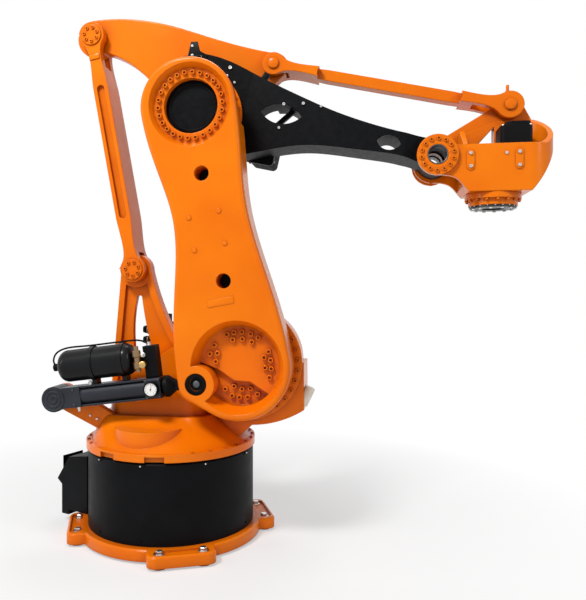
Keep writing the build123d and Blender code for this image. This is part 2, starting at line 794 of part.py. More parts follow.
# Elbow motor on the arm's far side
elbow_motor_share = 0.27
elbow_motor_turn = -14.0
elbow_motor_at = from_point(elbow, -arm_drop + elbow_motor_turn, elbow_motor_share * arm_length)
far_step = (arm_root_far_y - arm_wide_far_y) / (arm_wide_share * arm_length - arm_root_r)
elbow_motor_y = arm_root_far_y - far_step * (elbow_motor_share * arm_length + motor_r - arm_root_r)
elbow_motor_plane = Plane(
    origin=(elbow_motor_at[0], elbow_motor_y, elbow_motor_at[1]),
    x_dir=(cos(radians(arm_drop)), 0, -sin(radians(arm_drop))),
    z_dir=(0, 1, 0),
)
with BuildPart() as elbow_motor_cut:
    add(motor(elbow_motor_plane, motor_length))
    add(arm.part, mode=Mode.SUBTRACT)

elbow_motor_cut.part.label = "elbow_motor"
export_step(elbow_motor_cut.part, "parts/elbow_motor.step")


# Rocker: the level lever that carries both pairs of rods
rear_eye_r = 98.0
front_eye_r = 68.0
lug_r = 68.0
lug_room = 102.0
rocker_hub_r = 165.0
crown_shares = [(-0.63, 1.19), (-0.33, 1.105), (-0.01, 0.96), (0.32, 0.815)]
belly_shares = [(-0.7, 0.71), (-0.53, 0.53)]
rocker_panel = 12.0

with BuildPart() as rocker:
    with BuildSketch(side_plane(elbow, linkage_far_y)):
        with Locations((-rear_lever_x, rear_lever_z)):
            Circle(rear_eye_r)
        with Locations((front_lever_x, front_lever_z)):
            Circle(front_eye_r)
        Circle(rocker_hub_r)
        with BuildLine():
            rear_top = (-rear_lever_x, rear_lever_z + rear_eye_r)
            rear_low_side = (-rear_lever_x + 0.6 * rear_eye_r, rear_lever_z - 0.8 * rear_eye_r)
            front_top = (front_lever_x, front_lever_z + front_eye_r)
            front_low = (front_lever_x + 0.6 * front_eye_r, front_lever_z - 0.8 * front_eye_r)
            Spline(rear_top, *[(u * rear_lever_x, v * rear_lever_z) for u, v in crown_shares], front_top)
            Polyline(front_top, front_low, (rocker_hub_r, 0), (-rocker_hub_r, 0))
            Spline(
                (-rocker_hub_r, 0),
                *[(u * rear_lever_x, v * rear_lever_z) for u, v in reversed(belly_shares)],
                rear_low_side,
            )
            Line(rear_low_side, rear_top)
        make_face()
    extrude(amount=linkage_far_y - linkage_near_y)
    fillet(rocker.faces().sort_by(Axis.Y)[0].edges(), cast_edge)
    with BuildSketch(side_plane(elbow, linkage_far_y + overrun)):
        Circle(spindle_r + running_gap)
        with Locations((-rear_lever_x, rear_lever_z), (front_lever_x, front_lever_z)):
            Circle(rod_pin_r + running_gap)
    extrude(amount=linkage_far_y - linkage_near_y + 2 * overrun, mode=Mode.SUBTRACT)

rocker.part.label = "rocker"
export_step(rocker.part, "parts/rocker.step")

# Rocker cap: the bearing cover on the rocker's far side
cap_thick = 16.0

with BuildPart() as rocker_cap:
    with BuildSketch(side_plane(elbow, linkage_far_y + cap_thick)):
        Circle(rocker_hub_r - 2 * side_gap)
    extrude(amount=cap_thick)
    with BuildSketch(side_plane(elbow, linkage_far_y + side_gap)):
        Circle(spindle_r + side_gap)
    extrude(amount=side_gap, mode=Mode.SUBTRACT)

rocker_cap.part.label = "rocker_cap"
export_step(rocker_cap.part, "parts/rocker_cap.step")


# Rods: cast bars with a fork at each end, that taper in to a slim middle
fork_neck = 290.0
neck_turn = 50.0
rod_web_depth = 16.0


def fork_rod(start, end, near, start_r, end_r, start_slot, end_slot, waist, web_depth, web_height):
    """One rod from the pivot at `start` to the pivot at `end`, its near face at depth `near`."""
    turn = degrees(atan2(end[1] - start[1], end[0] - start[0]))
    reach = hypot(end[0] - start[0], end[1] - start[1])
    neck_cos = cos(radians(neck_turn))
    neck_sin = sin(radians(neck_turn))
    with BuildPart() as rod:
        with BuildSketch(side_plane(start, rod_far_y, turn)):
            Circle(start_r)
            with Locations((reach, 0)):
                Circle(end_r)
            with BuildLine():
                start_top = (start_r * neck_cos, start_r * neck_sin)
                start_foot = (start_r * neck_cos, -start_r * neck_sin)
                end_top = (reach - end_r * neck_cos, end_r * neck_sin)
                end_foot = (reach - end_r * neck_cos, -end_r * neck_sin)
                Spline(start_top, (fork_neck, waist), tangents=((neck_sin, -neck_cos), (1, 0)))
                Line((fork_neck, waist), (reach - fork_neck, waist))
                Spline((reach - fork_neck, waist), end_top, tangents=((1, 0), (neck_sin, neck_cos)))
                Line(end_top, end_foot)
                Spline(end_foot, (reach - fork_neck, -waist), tangents=((-neck_sin, neck_cos), (-1, 0)))
                Line((reach - fork_neck, -waist), (fork_neck, -waist))
                Spline((fork_neck, -waist), start_foot, tangents=((-1, 0), (-neck_sin, -neck_cos)))
                Line(start_foot, start_top)
            make_face()
        extrude(amount=rod_far_y - near)
        for face_y in (near + web_depth, rod_far_y):
            with BuildSketch(side_plane(start, face_y, turn)):
                with Locations((reach / 2, 0)):
                    SlotCenterToCenter(reach - 2 * fork_neck, web_height)
            extrude(amount=web_depth, mode=Mode.SUBTRACT)
        with BuildSketch(side_plane(start, linkage_far_y + side_gap, turn)):
            Circle(start_slot)
            with Locations((reach, 0)):
                Circle(end_slot)
        extrude(amount=linkage_far_y - linkage_near_y + 2 * side_gap, mode=Mode.SUBTRACT)
        with BuildSketch(side_plane(start, rod_far_y + overrun, turn)):
            Circle(rod_pin_r)
            with Locations((reach, 0)):
                Circle(rod_pin_r)
        extrude(amount=rod_far_y - near + 2 * overrun, mode=Mode.SUBTRACT)
    return rod.part


def rod_pins(start, end, near, start_cap, end_cap):
    """The two hinge pins of a rod, each with a round cap on its near face."""
    with BuildPart() as pins:
        for point, cap_r in ((start, start_cap), (end, end_cap)):
            with BuildSketch(side_plane(point, rod_far_y)):
                Circle(rod_pin_r)
            extrude(amount=rod_far_y - near)
            with BuildSketch(side_plane(point, near)):
                Circle(cap_r)
            extrude(amount=pin_cap)
    return pins.part


pin_cap = 7.0
lower_rod_end_r = 66.0
lower_rod_head_r = 68.0
lower_rod_waist = 40.0
upper_rod_end_r = 56.0
upper_rod_head_r = 64.0
upper_rod_waist = 27.0
upper_web_depth = 45.0
lower_rod_part = fork_rod(
    rear_low,
    rear_high,
    lower_rod_near_y,
    lower_rod_end_r,
    lower_rod_head_r,
    bracket_head_r + 2 * side_gap,
    1.7 * rear_eye_r,
    lower_rod_waist,
    rod_web_depth,
    lower_rod_waist,
)
lower_rod_part.label = "lower_rod"
export_step(lower_rod_part, "parts/lower_rod.step")
lower_cap_r = 54.0
lower_pins_part = rod_pins(rear_low, rear_high, lower_rod_near_y, lower_cap_r, lower_cap_r)
lower_pins_part.label = "lower_rod_pins"
export_step(lower_pins_part, "parts/lower_rod_pins.step")

upper_rod_part = fork_rod(
    front_high,
    front_wrist,
    upper_rod_near_y,
    upper_rod_end_r,
    upper_rod_head_r,
    front_eye_r + 2 * side_gap,
    lug_r + lug_room,
    upper_rod_waist,
    upper_web_depth,
    2 * upper_rod_head_r,
)
upper_rod_part.label = "upper_rod"
export_step(upper_rod_part, "parts/upper_rod.step")
upper_cap_r = 28.0
upper_pins_part = rod_pins(front_high, front_wrist, upper_rod_near_y, upper_cap_r, upper_cap_r)
upper_pins_part.label = "upper_rod_pins"
export_step(upper_pins_part, "parts/upper_rod_pins.step")


# Wrist housing: a bowl with a round front and a sloping rim, on a fork, with a braced lug behind
wrist_wall = 22.0
wrist_reach = 526.0
rim_low = 45.0
rim_high = 222.0
wrist_drop = 168.0
bowl_drop = 70.0
bowl_rear = 118.0
bowl_toe = 170.0
bowl_toe_drop = 42.0
collar_r = 126.0
heel_lap = 21.0
belly_share = (0.87, 0.42)
strut_half = 34.0
window_inset = 56.0
wrist_front_x = wrist[0] + wrist_reach
rim_low_z = wrist[1] + rim_low
rim_high_z = wrist[1] + rim_high
wrist_floor_z = wrist[1] - wrist_drop
bowl_floor_z = wrist[1] - bowl_drop
bowl_rear_x = wrist[0] + bowl_rear
bowl_toe_x = tool_x + bowl_toe
bowl_toe_z = rim_low_z - bowl_toe_drop
wrist_depth = wrist_far_y - wrist_near_y
bowl_nose = wrist_depth / 2


def bowl_plan(rear, radius):
    """Plan outline of the bowl: straight sides and a round front, all `radius` from its middle."""
    front = wrist_front_x - bowl_nose
    Polyline((front, tool_y + radius), (rear, tool_y + radius), (rear, tool_y - radius), (front, tool_y - radius))
    ThreePointArc((front, tool_y - radius), (front + radius, tool_y), (front, tool_y + radius))


with BuildPart() as wrist_housing:
    with BuildSketch(side_plane((0, 0), wrist_far_y)):
        with Locations(wrist):
            Circle(wrist_ear_r)
        with BuildLine():
            rim_rear = (wrist[0], wrist[1] + wrist_ear_r)
            nose_high = (wrist_front_x, rim_high_z)
            nose_low = (wrist_front_x, rim_low_z)
            belly = (
                tool_x + belly_share[0] * (wrist_front_x - tool_x),
                rim_low_z - belly_share[1] * (rim_low_z - wrist_floor_z),
            )
            heel = (tool_x + collar_r + heel_lap, wrist_floor_z)
            collar_rear = (tool_x - collar_r, wrist_floor_z)
            Polyline(rim_rear, (front_wrist[0], rim_high_z), nose_high, nose_low)
            ThreePointArc(nose_low, belly, heel)
            Line(heel, collar_rear)
            Spline(
                collar_rear,
                (wrist[0] + wrist_ear_r, wrist[1] - wrist_ear_r - wrist_wall),
                (wrist[0], wrist[1] - wrist_ear_r),
                tangents=((-1, 1), (-1, 0)),
            )
            Line((wrist[0], wrist[1] - wrist_ear_r), rim_rear)
        make_face()
    extrude(amount=wrist_depth)
    with BuildSketch(Plane.XY.offset(wrist_floor_z - overrun)):
        with BuildLine():
            bowl_plan(wrist[0] - 2 * wrist_ear_r, bowl_nose)
        make_face()
    extrude(amount=arm_length, mode=Mode.INTERSECT)
    with BuildSketch(Plane.XY.offset(bowl_floor_z)):
        with BuildLine():
            bowl_plan(bowl_rear_x + wrist_wall, bowl_nose - wrist_wall)
        make_face()
        with Locations((bowl_toe_x - wrist_reach, tool_y)):
            Rectangle(2 * wrist_reach, 2 * wrist_reach, mode=Mode.INTERSECT)
    extrude(amount=arm_length, mode=Mode.SUBTRACT)
    with BuildSketch(Plane.XY.offset(bowl_toe_z)):
        with BuildLine():
            bowl_plan(bowl_rear_x + wrist_wall, bowl_nose - wrist_wall)
        make_face()
    extrude(amount=arm_length, mode=Mode.SUBTRACT)
    with BuildSketch(Plane.YZ.offset(wrist[0] - 2 * wrist_ear_r)):
        with BuildLine():
            Polyline(
                (wrist_near_y - overrun, rim_low_z),
                (wrist_near_y + wrist_wall + overrun, rim_low_z),
                (wrist_far_y - wrist_wall, rim_high_z - wrist_wall),
                (wrist_far_y + overrun, rim_high_z - wrist_wall),
                (wrist_far_y + overrun, rim_high_z + arm_length),
                (wrist_near_y - overrun, rim_high_z + arm_length),
                close=True,
            )
        make_face()
    extrude(amount=2 * wrist_front_x, mode=Mode.SUBTRACT)
    with BuildSketch(side_plane(wrist, arm_nose_far_y + side_gap)):
        with Locations(((bowl_rear_x - wrist[0] - 3 * wrist_ear_r) / 2, 0)):
            Rectangle(bowl_rear_x - wrist[0] + 3 * wrist_ear_r, 8 * wrist_ear_r)
    extrude(amount=arm_nose_far_y - arm_nose_near_y + 2 * side_gap, mode=Mode.SUBTRACT)
    with BuildSketch(side_plane((0, 0), linkage_far_y)):
        with Locations(front_wrist):
            Circle(lug_r)
        with BuildLine():
            strut_turn = degrees(atan2(front_lever_z, front_lever_x))
            strut_top = from_point(front_wrist, strut_turn + 90.0, strut_half)
            strut_foot = from_point(wrist, strut_turn + 90.0, wrist_ear_r - side_gap)
            rim_end = (wrist_front_x - bowl_nose / 2, rim_high_z - wrist_wall)
            Polyline(
                strut_top,
                strut_foot,
                wrist,
                (bowl_rear_x, bowl_floor_z),
                (wrist_front_x - bowl_nose, bowl_floor_z),
                rim_end,
                (front_wrist[0] + lug_r, front_wrist[1]),
                close=True,
            )
        make_face()
        with Locations(front_wrist):
            Circle(rod_pin_r + running_gap, mode=Mode.SUBTRACT)
    extrude(amount=linkage_far_y - linkage_near_y)
    with BuildSketch(side_plane((0, 0), linkage_far_y + overrun)):
        with BuildLine():
            sill = rim_low_z - window_inset
            Polyline(
                (bowl_rear_x + window_inset, sill),
                (front_wrist[0] - lug_r, sill),
                (front_wrist[0] - lug_r, front_wrist[1] - lug_r - window_inset / 2),
                (bowl_rear_x + window_inset, sill + window_inset),
                close=True,
            )
        make_face()
    extrude(amount=linkage_far_y - linkage_near_y + 2 * overrun + wrist_wall, mode=Mode.SUBTRACT)
    with BuildSketch(side_plane(wrist, 0)):
        Circle(wrist_tube_r)
    extrude(amount=-near_y, both=True, mode=Mode.SUBTRACT)

wrist_housing.part.label = "wrist_housing"
export_step(wrist_housing.part, "parts/wrist_housing.step")


# Wrist rings: hollow hinge bushings, with a flange outside and a tube inside the arm's nose
wrist_ring_r = 92.0
wrist_ring_thick = 17.0
tube_reach = 40.0

for node_name, face_y, nose_y, side, ring_r in (
    ("wrist_ring_near", wrist_near_y, arm_nose_near_y, 1, wrist_ring_r),
    ("wrist_ring_far", linkage_far_y, arm_nose_far_y, -1, wrist_ring_r),
):
    with BuildPart() as wrist_ring:
        with BuildSketch(side_plane(wrist, face_y)):
            Circle(ring_r)
            Circle(wrist_bore_r, mode=Mode.SUBTRACT)
        extrude(amount=side * wrist_ring_thick)
        with BuildSketch(side_plane(wrist, face_y)):
            Circle(wrist_tube_r)
            Circle(wrist_bore_r, mode=Mode.SUBTRACT)
        extrude(amount=-side * (abs(face_y - nose_y) + tube_reach))
    wrist_ring.part.label = node_name
    export_step(wrist_ring.part, f"parts/{node_name}.step")


# Wrist motor, standing in the bowl
wrist_motor_half = 70.0
wrist_motor_shift = 92.0
wrist_motor_rise = 158.0
wrist_motor_aside = 6.0
wrist_motor_top = wrist[1] + wrist_motor_rise
wrist_motor_y = tool_y - wrist_motor_aside
connector_height = 22.0

with BuildPart() as wrist_motor:
    with BuildSketch(Plane.XY.offset(bowl_floor_z)):
        with Locations((tool_x + wrist_motor_shift, wrist_motor_y)):
            RectangleRounded(2 * wrist_motor_half, 2 * wrist_motor_half, wrist_motor_half / 4)
    extrude(amount=wrist_motor_top - connector_height - bowl_floor_z)
    with BuildSketch(Plane.XY.offset(wrist_motor_top - connector_height)):
        with Locations((tool_x + wrist_motor_shift + wrist_motor_half / 5, wrist_motor_y)):
            RectangleRounded(1.5 * wrist_motor_half, 1.5 * wrist_motor_half, wrist_motor_half / 4)
    extrude(amount=connector_height)

wrist_motor.part.label = "wrist_motor"
export_step(wrist_motor.part, "parts/wrist_motor.step")


# Flange gearbox: two stepped tiers under the bowl
tier_height = 28.0
tier_r = 110.0
gearbox_foot_z = tool_z + 11.0

with BuildPart() as flange_gearbox:
    with BuildSketch(Plane.XY.offset(wrist_floor_z)):
        with Locations((tool_x, tool_y)):
            Circle(collar_r)
    extrude(amount=-tier_height)
    with BuildSketch(Plane.XY.offset(wrist_floor_z - tier_height)):
        with Locations((tool_x, tool_y)):
            Circle(tier_r)
    extrude(amount=-(wrist_floor_z - tier_height - gearbox_foot_z))

flange_gearbox.part.label = "flange_gearbox"
export_step(flange_gearbox.part, "parts/flange_gearbox.step")


# Tool flange: steel disc with a centring recess and threaded holes
tool_flange_r = 104.0
tool_pcd = 160.0
tool_hole_r = 6.0
tool_holes = 6
tool_recess_r = 50.0
tool_recess_depth = 6.0
tool_thick = gearbox_foot_z - running_gap - tool_z

with BuildPart() as tool_flange:
    with BuildSketch(Plane.XY.offset(tool_z)):
        with Locations((tool_x, tool_y)):
            Circle(tool_flange_r)
    extrude(amount=tool_thick)
    with BuildSketch(Plane.XY.offset(tool_z)):
        with Locations((tool_x, tool_y)):
            with PolarLocations(tool_pcd / 2, tool_holes):
                Circle(tool_hole_r)
    extrude(amount=tool_thick, mode=Mode.SUBTRACT)
    with BuildSketch(Plane.XY.offset(tool_z)):
        with Locations((tool_x, tool_y)):
            Circle(tool_recess_r)
    extrude(amount=tool_recess_depth, mode=Mode.SUBTRACT)

tool_flange.part.label = "tool_flange"
export_step(tool_flange.part, "parts/tool_flange.step")


# Balancer: a gas-sprung cylinder from the bracket to the link arm
balancer_dx = balancer_pin_at[0] - balancer_foot[0]
balancer_dz = balancer_pin_at[1] - balancer_foot[1]
balancer_turn = degrees(atan2(balancer_dz, balancer_dx))
balancer_span = hypot(balancer_dx, balancer_dz)
yoke_r = 62.0
yoke_end = 138.0
barrel_r = 47.0
barrel_bore_r = 40.0
barrel_end = 468.0
head_end = 545.0
head_half = 50.0
tie_half = 42.0
tie_thick = 9.0
sleeve_start = 558.0
sleeve_r = 52.0
sleeve_neck = 40.0
sleeve_end = balancer_span - pin_boss_r - sleeve_neck - 4 * side_gap
rod_r = 20.0
rod_tip = 330.0


def across(start, turn, distance):
    """Plane across a slanted axis in the balancer's depth, at a distance from its start."""
    point = from_point(start, turn, distance)
    z_dir = (cos(radians(turn)), 0, sin(radians(turn)))
    return Plane(origin=(point[0], balancer_y, point[1]), x_dir=(0, 1, 0), z_dir=z_dir)


with BuildPart() as balancer_yoke:
    with BuildSketch(side_plane(balancer_foot, balancer_y + yoke_half, balancer_turn)):
        Circle(yoke_r)
        with Locations((yoke_end / 2, 0)):
            Rectangle(yoke_end, 2 * yoke_half)
        Circle(foot_pin_r + running_gap, mode=Mode.SUBTRACT)
    extrude(amount=2 * yoke_half)

balancer_yoke.part.label = "balancer_yoke"
export_step(balancer_yoke.part, "parts/balancer_yoke.step")

with BuildPart() as balancer_cylinder:
    with BuildSketch(across(balancer_foot, balancer_turn, yoke_end)):
        Circle(barrel_r)
        with Locations((0, head_half - tie_thick / 2), (0, tie_thick / 2 - head_half)):
            Rectangle(2 * tie_half, tie_thick)
        Circle(barrel_bore_r, mode=Mode.SUBTRACT)
    extrude(amount=barrel_end - yoke_end)

balancer_cylinder.part.label = "balancer_cylinder"
export_step(balancer_cylinder.part, "parts/balancer_cylinder.step")

with BuildPart() as balancer_head:
    with BuildSketch(across(balancer_foot, balancer_turn, barrel_end)):
        RectangleRounded(2 * head_half, 2 * head_half, head_half / 4)
        Circle(barrel_bore_r, mode=Mode.SUBTRACT)
    extrude(amount=head_end - barrel_end)

balancer_head.part.label = "balancer_head"
export_step(balancer_head.part, "parts/balancer_head.step")

with BuildPart() as balancer_rod:
    with BuildSketch(across(balancer_foot, balancer_turn, rod_tip)):
        Circle(rod_r)
    extrude(amount=sleeve_start - rod_tip)
    with BuildSketch(across(balancer_foot, balancer_turn, sleeve_start)):
        Circle(sleeve_r)
    extrude(amount=sleeve_end - sleeve_start)
    with BuildSketch(across(balancer_foot, balancer_turn, sleeve_end)):
        Circle(sleeve_r)
    with BuildSketch(across(balancer_foot, balancer_turn, sleeve_end + sleeve_neck)):
        Circle(balancer_eye_half)
    loft()
    with BuildSketch(side_plane(balancer_pin_at, balancer_y + balancer_eye_half, balancer_turn)):
        Circle(balancer_eye_r)
        with Locations((-(balancer_span - sleeve_end) / 2, 0)):
            Rectangle(balancer_span - sleeve_end, 2 * balancer_eye_half)
        Circle(balancer_pin_r + running_gap, mode=Mode.SUBTRACT)
    extrude(amount=2 * balancer_eye_half)

balancer_rod.part.label = "balancer_rod"
export_step(balancer_rod.part, "parts/balancer_rod.step")


# Accumulator: a gas bottle carried above the cylinder on two saddles
tank_r = 78.0
tank_gap = 26.0
tank_start = 38.0
tank_length = 385.0
tank_end_r = 44.0
tank_rise = barrel_r + tank_gap + tank_r
saddle_width = 24.0
saddle_thick = 5.0
saddle_half = 26.0
saddle_shares = [0.42, 0.82]
tank_at = from_point(from_point(balancer_foot, balancer_turn, tank_start), balancer_turn + 90.0, tank_rise)

with BuildPart() as accumulator:
    with BuildSketch(across(tank_at, balancer_turn, 0)):
        Circle(tank_r)
    extrude(amount=tank_length)
    fillet(accumulator.edges().filter_by(GeomType.CIRCLE), tank_end_r)

accumulator.part.label = "accumulator"
export_step(accumulator.part, "parts/accumulator.step")

with BuildPart() as accumulator_saddles:
    for share in saddle_shares:
        with BuildSketch(across(tank_at, balancer_turn, share * tank_length)):
            Circle(tank_r + saddle_thick)
            with Locations((0, -tank_rise / 2)):
                Rectangle(2 * saddle_half, tank_rise)
            Circle(tank_r, mode=Mode.SUBTRACT)
            with Locations((0, -tank_rise)):
                Circle(barrel_r, mode=Mode.SUBTRACT)
                Rectangle(2 * tie_half, 2 * head_half, mode=Mode.SUBTRACT)
        extrude(amount=saddle_width)

accumulator_saddles.part.label = "accumulator_saddles"
export_step(accumulator_saddles.part, "parts/accumulator_saddles.step")


# Valve block: joins the accumulator's neck to the cylinder head
valve_length = 62.0
valve_half = 34.0
valve_top = 205.0
neck_r = 20.0

with BuildPart() as valve_block:
    with BuildSketch(across(balancer_foot, balancer_turn, head_end - valve_length - side_gap)):
        with Locations((0, (head_half + valve_top) / 2)):
            RectangleRounded(2 * valve_half, valve_top - head_half, side_gap)
    extrude(amount=valve_length)
    with BuildSketch(across(tank_at, balancer_turn, tank_length)):
        Circle(neck_r)
    extrude(amount=head_end - valve_length - tank_start - tank_length)

valve_block.part.label = "valve_block"
export_step(valve_block.part, "parts/valve_block.step")


# Pressure gauge on the near side of the cylinder head
gauge_r = 35.0
gauge_depth = 26.0

with BuildPart() as pressure_gauge:
    gauge_at = from_point(balancer_foot, balancer_turn, (barrel_end + head_end) / 2)
    with BuildSketch(side_plane(gauge_at, balancer_y - head_half)):
        Circle(gauge_r)
    extrude(amount=gauge_depth)

pressure_gauge.part.label = "pressure_gauge"
export_step(pressure_gauge.part, "parts/pressure_gauge.step")
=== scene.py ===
import bpy
import bmesh
import math
from mathutils import Matrix, Vector


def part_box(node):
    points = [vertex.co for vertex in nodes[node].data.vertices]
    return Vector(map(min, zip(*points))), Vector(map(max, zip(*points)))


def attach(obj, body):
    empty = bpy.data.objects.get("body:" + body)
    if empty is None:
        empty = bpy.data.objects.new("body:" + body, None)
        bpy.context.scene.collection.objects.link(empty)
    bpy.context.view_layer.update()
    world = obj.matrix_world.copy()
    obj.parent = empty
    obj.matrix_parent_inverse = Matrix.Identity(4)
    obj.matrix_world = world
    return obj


# The frame: every solid of the robot, in metres. Its box is the size that the finished model keeps to.
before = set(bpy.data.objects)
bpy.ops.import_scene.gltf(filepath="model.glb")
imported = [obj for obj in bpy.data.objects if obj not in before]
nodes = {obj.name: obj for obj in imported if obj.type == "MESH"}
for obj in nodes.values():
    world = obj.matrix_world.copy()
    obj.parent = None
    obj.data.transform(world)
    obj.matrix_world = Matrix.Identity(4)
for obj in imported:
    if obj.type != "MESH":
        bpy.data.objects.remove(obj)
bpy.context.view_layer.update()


# Camera: a level view from the near side, a little in front of the swivel axis, as the photograph
# was taken. The focal length and the small shift give its framing.
FOCAL_PIXELS = 648.2
LONG_SIDE_PIXELS = 600.0
CENTRE_PIXELS = (293.0, 300.0)
HORIZON_PIXELS = (259.9, 287.1)
CAMERA_PLACE = (0.9905, -3.276, 1.2584)
CAMERA_TURN = 9.1

camera_data = bpy.data.cameras.new("camera")
camera_data.sensor_fit = "AUTO"
camera_data.lens = camera_data.sensor_width * FOCAL_PIXELS / LONG_SIDE_PIXELS
camera_data.shift_x = (CENTRE_PIXELS[0] - HORIZON_PIXELS[0]) / LONG_SIDE_PIXELS
camera_data.shift_y = (HORIZON_PIXELS[1] - CENTRE_PIXELS[1]) / LONG_SIDE_PIXELS
camera = bpy.data.objects.new("camera", camera_data)
camera.location = CAMERA_PLACE
camera.rotation_euler = (math.radians(90), 0, math.radians(CAMERA_TURN))
bpy.context.scene.collection.objects.link(camera)
bpy.context.scene.camera = camera
bpy.context.scene.view_settings.view_transform = "Standard"


# Base plate: an orange cast-iron flange, machined below, coated in glossy two-coat enamel that lies
# a little uneven over the casting skin. Eight steel anchor bolts with washers hold it to the floor.
class Value:
    """A node's output. An expression on values adds its Math nodes."""

    def __init__(self, owner, socket):
        self.owner = owner
        self.socket = socket

    def math(self, operation, *others):
        inputs = {0: self}
        for index, other in enumerate(others):
            inputs[index + 1] = other
        return self.owner.node("ShaderNodeMath", inputs, operation=operation)

    def __add__(self, other):
        return self.math("ADD", other)

    __radd__ = __add__

    def __sub__(self, other):
        return self.math("SUBTRACT", other)

    def __rsub__(self, other):
        return self.math("MULTIPLY", -1.0).math("ADD", other)

    def __mul__(self, other):
        return self.math("MULTIPLY", other)

    __rmul__ = __mul__

    def clamp(self):
        return self.math("MAXIMUM", 0.0).math("MINIMUM", 1.0)


class Tree:
    """A node tree. One call makes each node: its settings first, then its sockets' values and links."""

    def __init__(self, tree):
        self.tree = tree

    def node(self, kind, inputs, output=0, stops=None, **settings):
        made = self.tree.nodes.new(kind)
        for name, value in settings.items():
            setattr(made, name, value)
        if stops:
            ramp = made.color_ramp
            while len(ramp.elements) < len(stops):
                ramp.elements.new(0.5)
            for element, (position, colour) in zip(ramp.elements, stops):
                element.position = position
                element.color = (*colour, 1.0)
        for key, value in inputs.items():
            if isinstance(value, Value):
                self.tree.links.new(value.socket, made.inputs[key])
            else:
                made.inputs[key].default_value = value
        return Value(self, made.outputs[output]) if len(made.outputs) else None


class Finish(Tree):
    """A paint, metal or plastic: constants on the shader's own sockets, patterns in object coordinates."""

    def __init__(self, name, **settings):
        self.material = bpy.data.materials.new(name)
        self.material.use_nodes = True
        super().__init__(self.material.node_tree)
        self.shader = self.tree.nodes["Principled BSDF"]
        for socket_name, value in settings.items():
            self.shader.inputs[socket_name.replace("_", " ")].default_value = value
        self.place = self.node("ShaderNodeTexCoord", {}, output="Object")

    def noise(self, scale, detail=3.0, roughness=0.5):
        inputs = {"Vector": self.place, "Scale": scale, "Detail": detail, "Roughness": roughness}
        return self.node("ShaderNodeTexNoise", inputs)

    def ramp(self, factor, low, high, first=(0, 0, 0), last=(1, 1, 1)):
        return self.node("ShaderNodeValToRGB", {0: factor}, stops=[(low, first), (high, last)])

    def mix(self, factor, first, second, blend="MIX"):
        inputs = {0: factor, 6: first, 7: second}
        return self.node("ShaderNodeMix", inputs, output=2, data_type="RGBA", blend_type=blend)

    def rounded(self, radius):
        return self.node("ShaderNodeBevel", {"Radius": radius}, samples=4)

    def edges(self, radius):
        """1 on an edge, 0 on a flat face."""
        flat = self.node("ShaderNodeNewGeometry", {}, output="Normal")
        inputs = {0: self.rounded(radius), 1: flat}
        agree = self.node("ShaderNodeVectorMath", inputs, output="Value", operation="DOT_PRODUCT")
        return ((1.0 - agree) * 4.0).clamp()

    def bump(self, height, strength, distance, edge_radius=0.003):
        inputs = {"Height": height, "Strength": strength, "Distance": distance}
        inputs["Normal"] = self.rounded(edge_radius)
        return self.node("ShaderNodeBump", inputs)

    def feed(self, **links):
        for socket_name, value in links.items():
            self.tree.links.new(value.socket, self.shader.inputs[socket_name.replace("_", " ")])
        return self.material


def paint(material, *names):
    """Gives CAD nodes one material."""
    for name in names:
        mesh = nodes[name].data
        mesh.materials.clear()
        mesh.materials.append(material)


def lofted_head(rows):
    """A closed solid through rows of (radius, turn in degrees, height) points, foot row first."""
    shape = bmesh.new()
    made = []
    for row in rows:
        made.append([
            shape.verts.new((r * math.cos(math.radians(t)), r * math.sin(math.radians(t)), z))
            for r, t, z in row
        ])
    sides = len(rows[0])
    for low, high in zip(made, made[1:]):
        for k in range(sides):
            shape.faces.new((low[k], low[(k + 1) % sides], high[(k + 1) % sides], high[k]))
    shape.faces.new(made[0][::-1])
    shape.faces.new(made[-1])
    return shape


def hex_socket_head():
    """Unit socket head screw: radius 1, height 1, chamfered rim and a hexagon socket."""
    turns = range(0, 360, 30)
    corner_reach = 0.56
    flat_reach = corner_reach * math.cos(math.radians(30))
    rows = []
    for radius, height in ((1.0, 0.0), (1.0, 0.82), (0.86, 1.0)):
        rows.append([(radius, turn, height) for turn in turns])
    for height in (1.0, 0.35):
        rows.append([(flat_reach if turn % 60 else corner_reach, turn, height) for turn in turns])
    return lofted_head(rows)


def washer_bolt_head():
    """Unit hexagon bolt head on a washer: radius 1, height 1."""
    turns = range(0, 360, 15)
    rows = [[(1.0, turn, height) for turn in turns] for height in (0.0, 0.2)]
    for corner_reach, height in ((0.7, 0.2), (0.7, 0.88), (0.6, 1.0)):
        flat_reach = corner_reach * math.cos(math.radians(30))
        row = [(flat_reach / math.cos(math.radians(turn % 60 - 30)), turn, height) for turn in turns]
        rows.append(row)
    return lofted_head(rows)


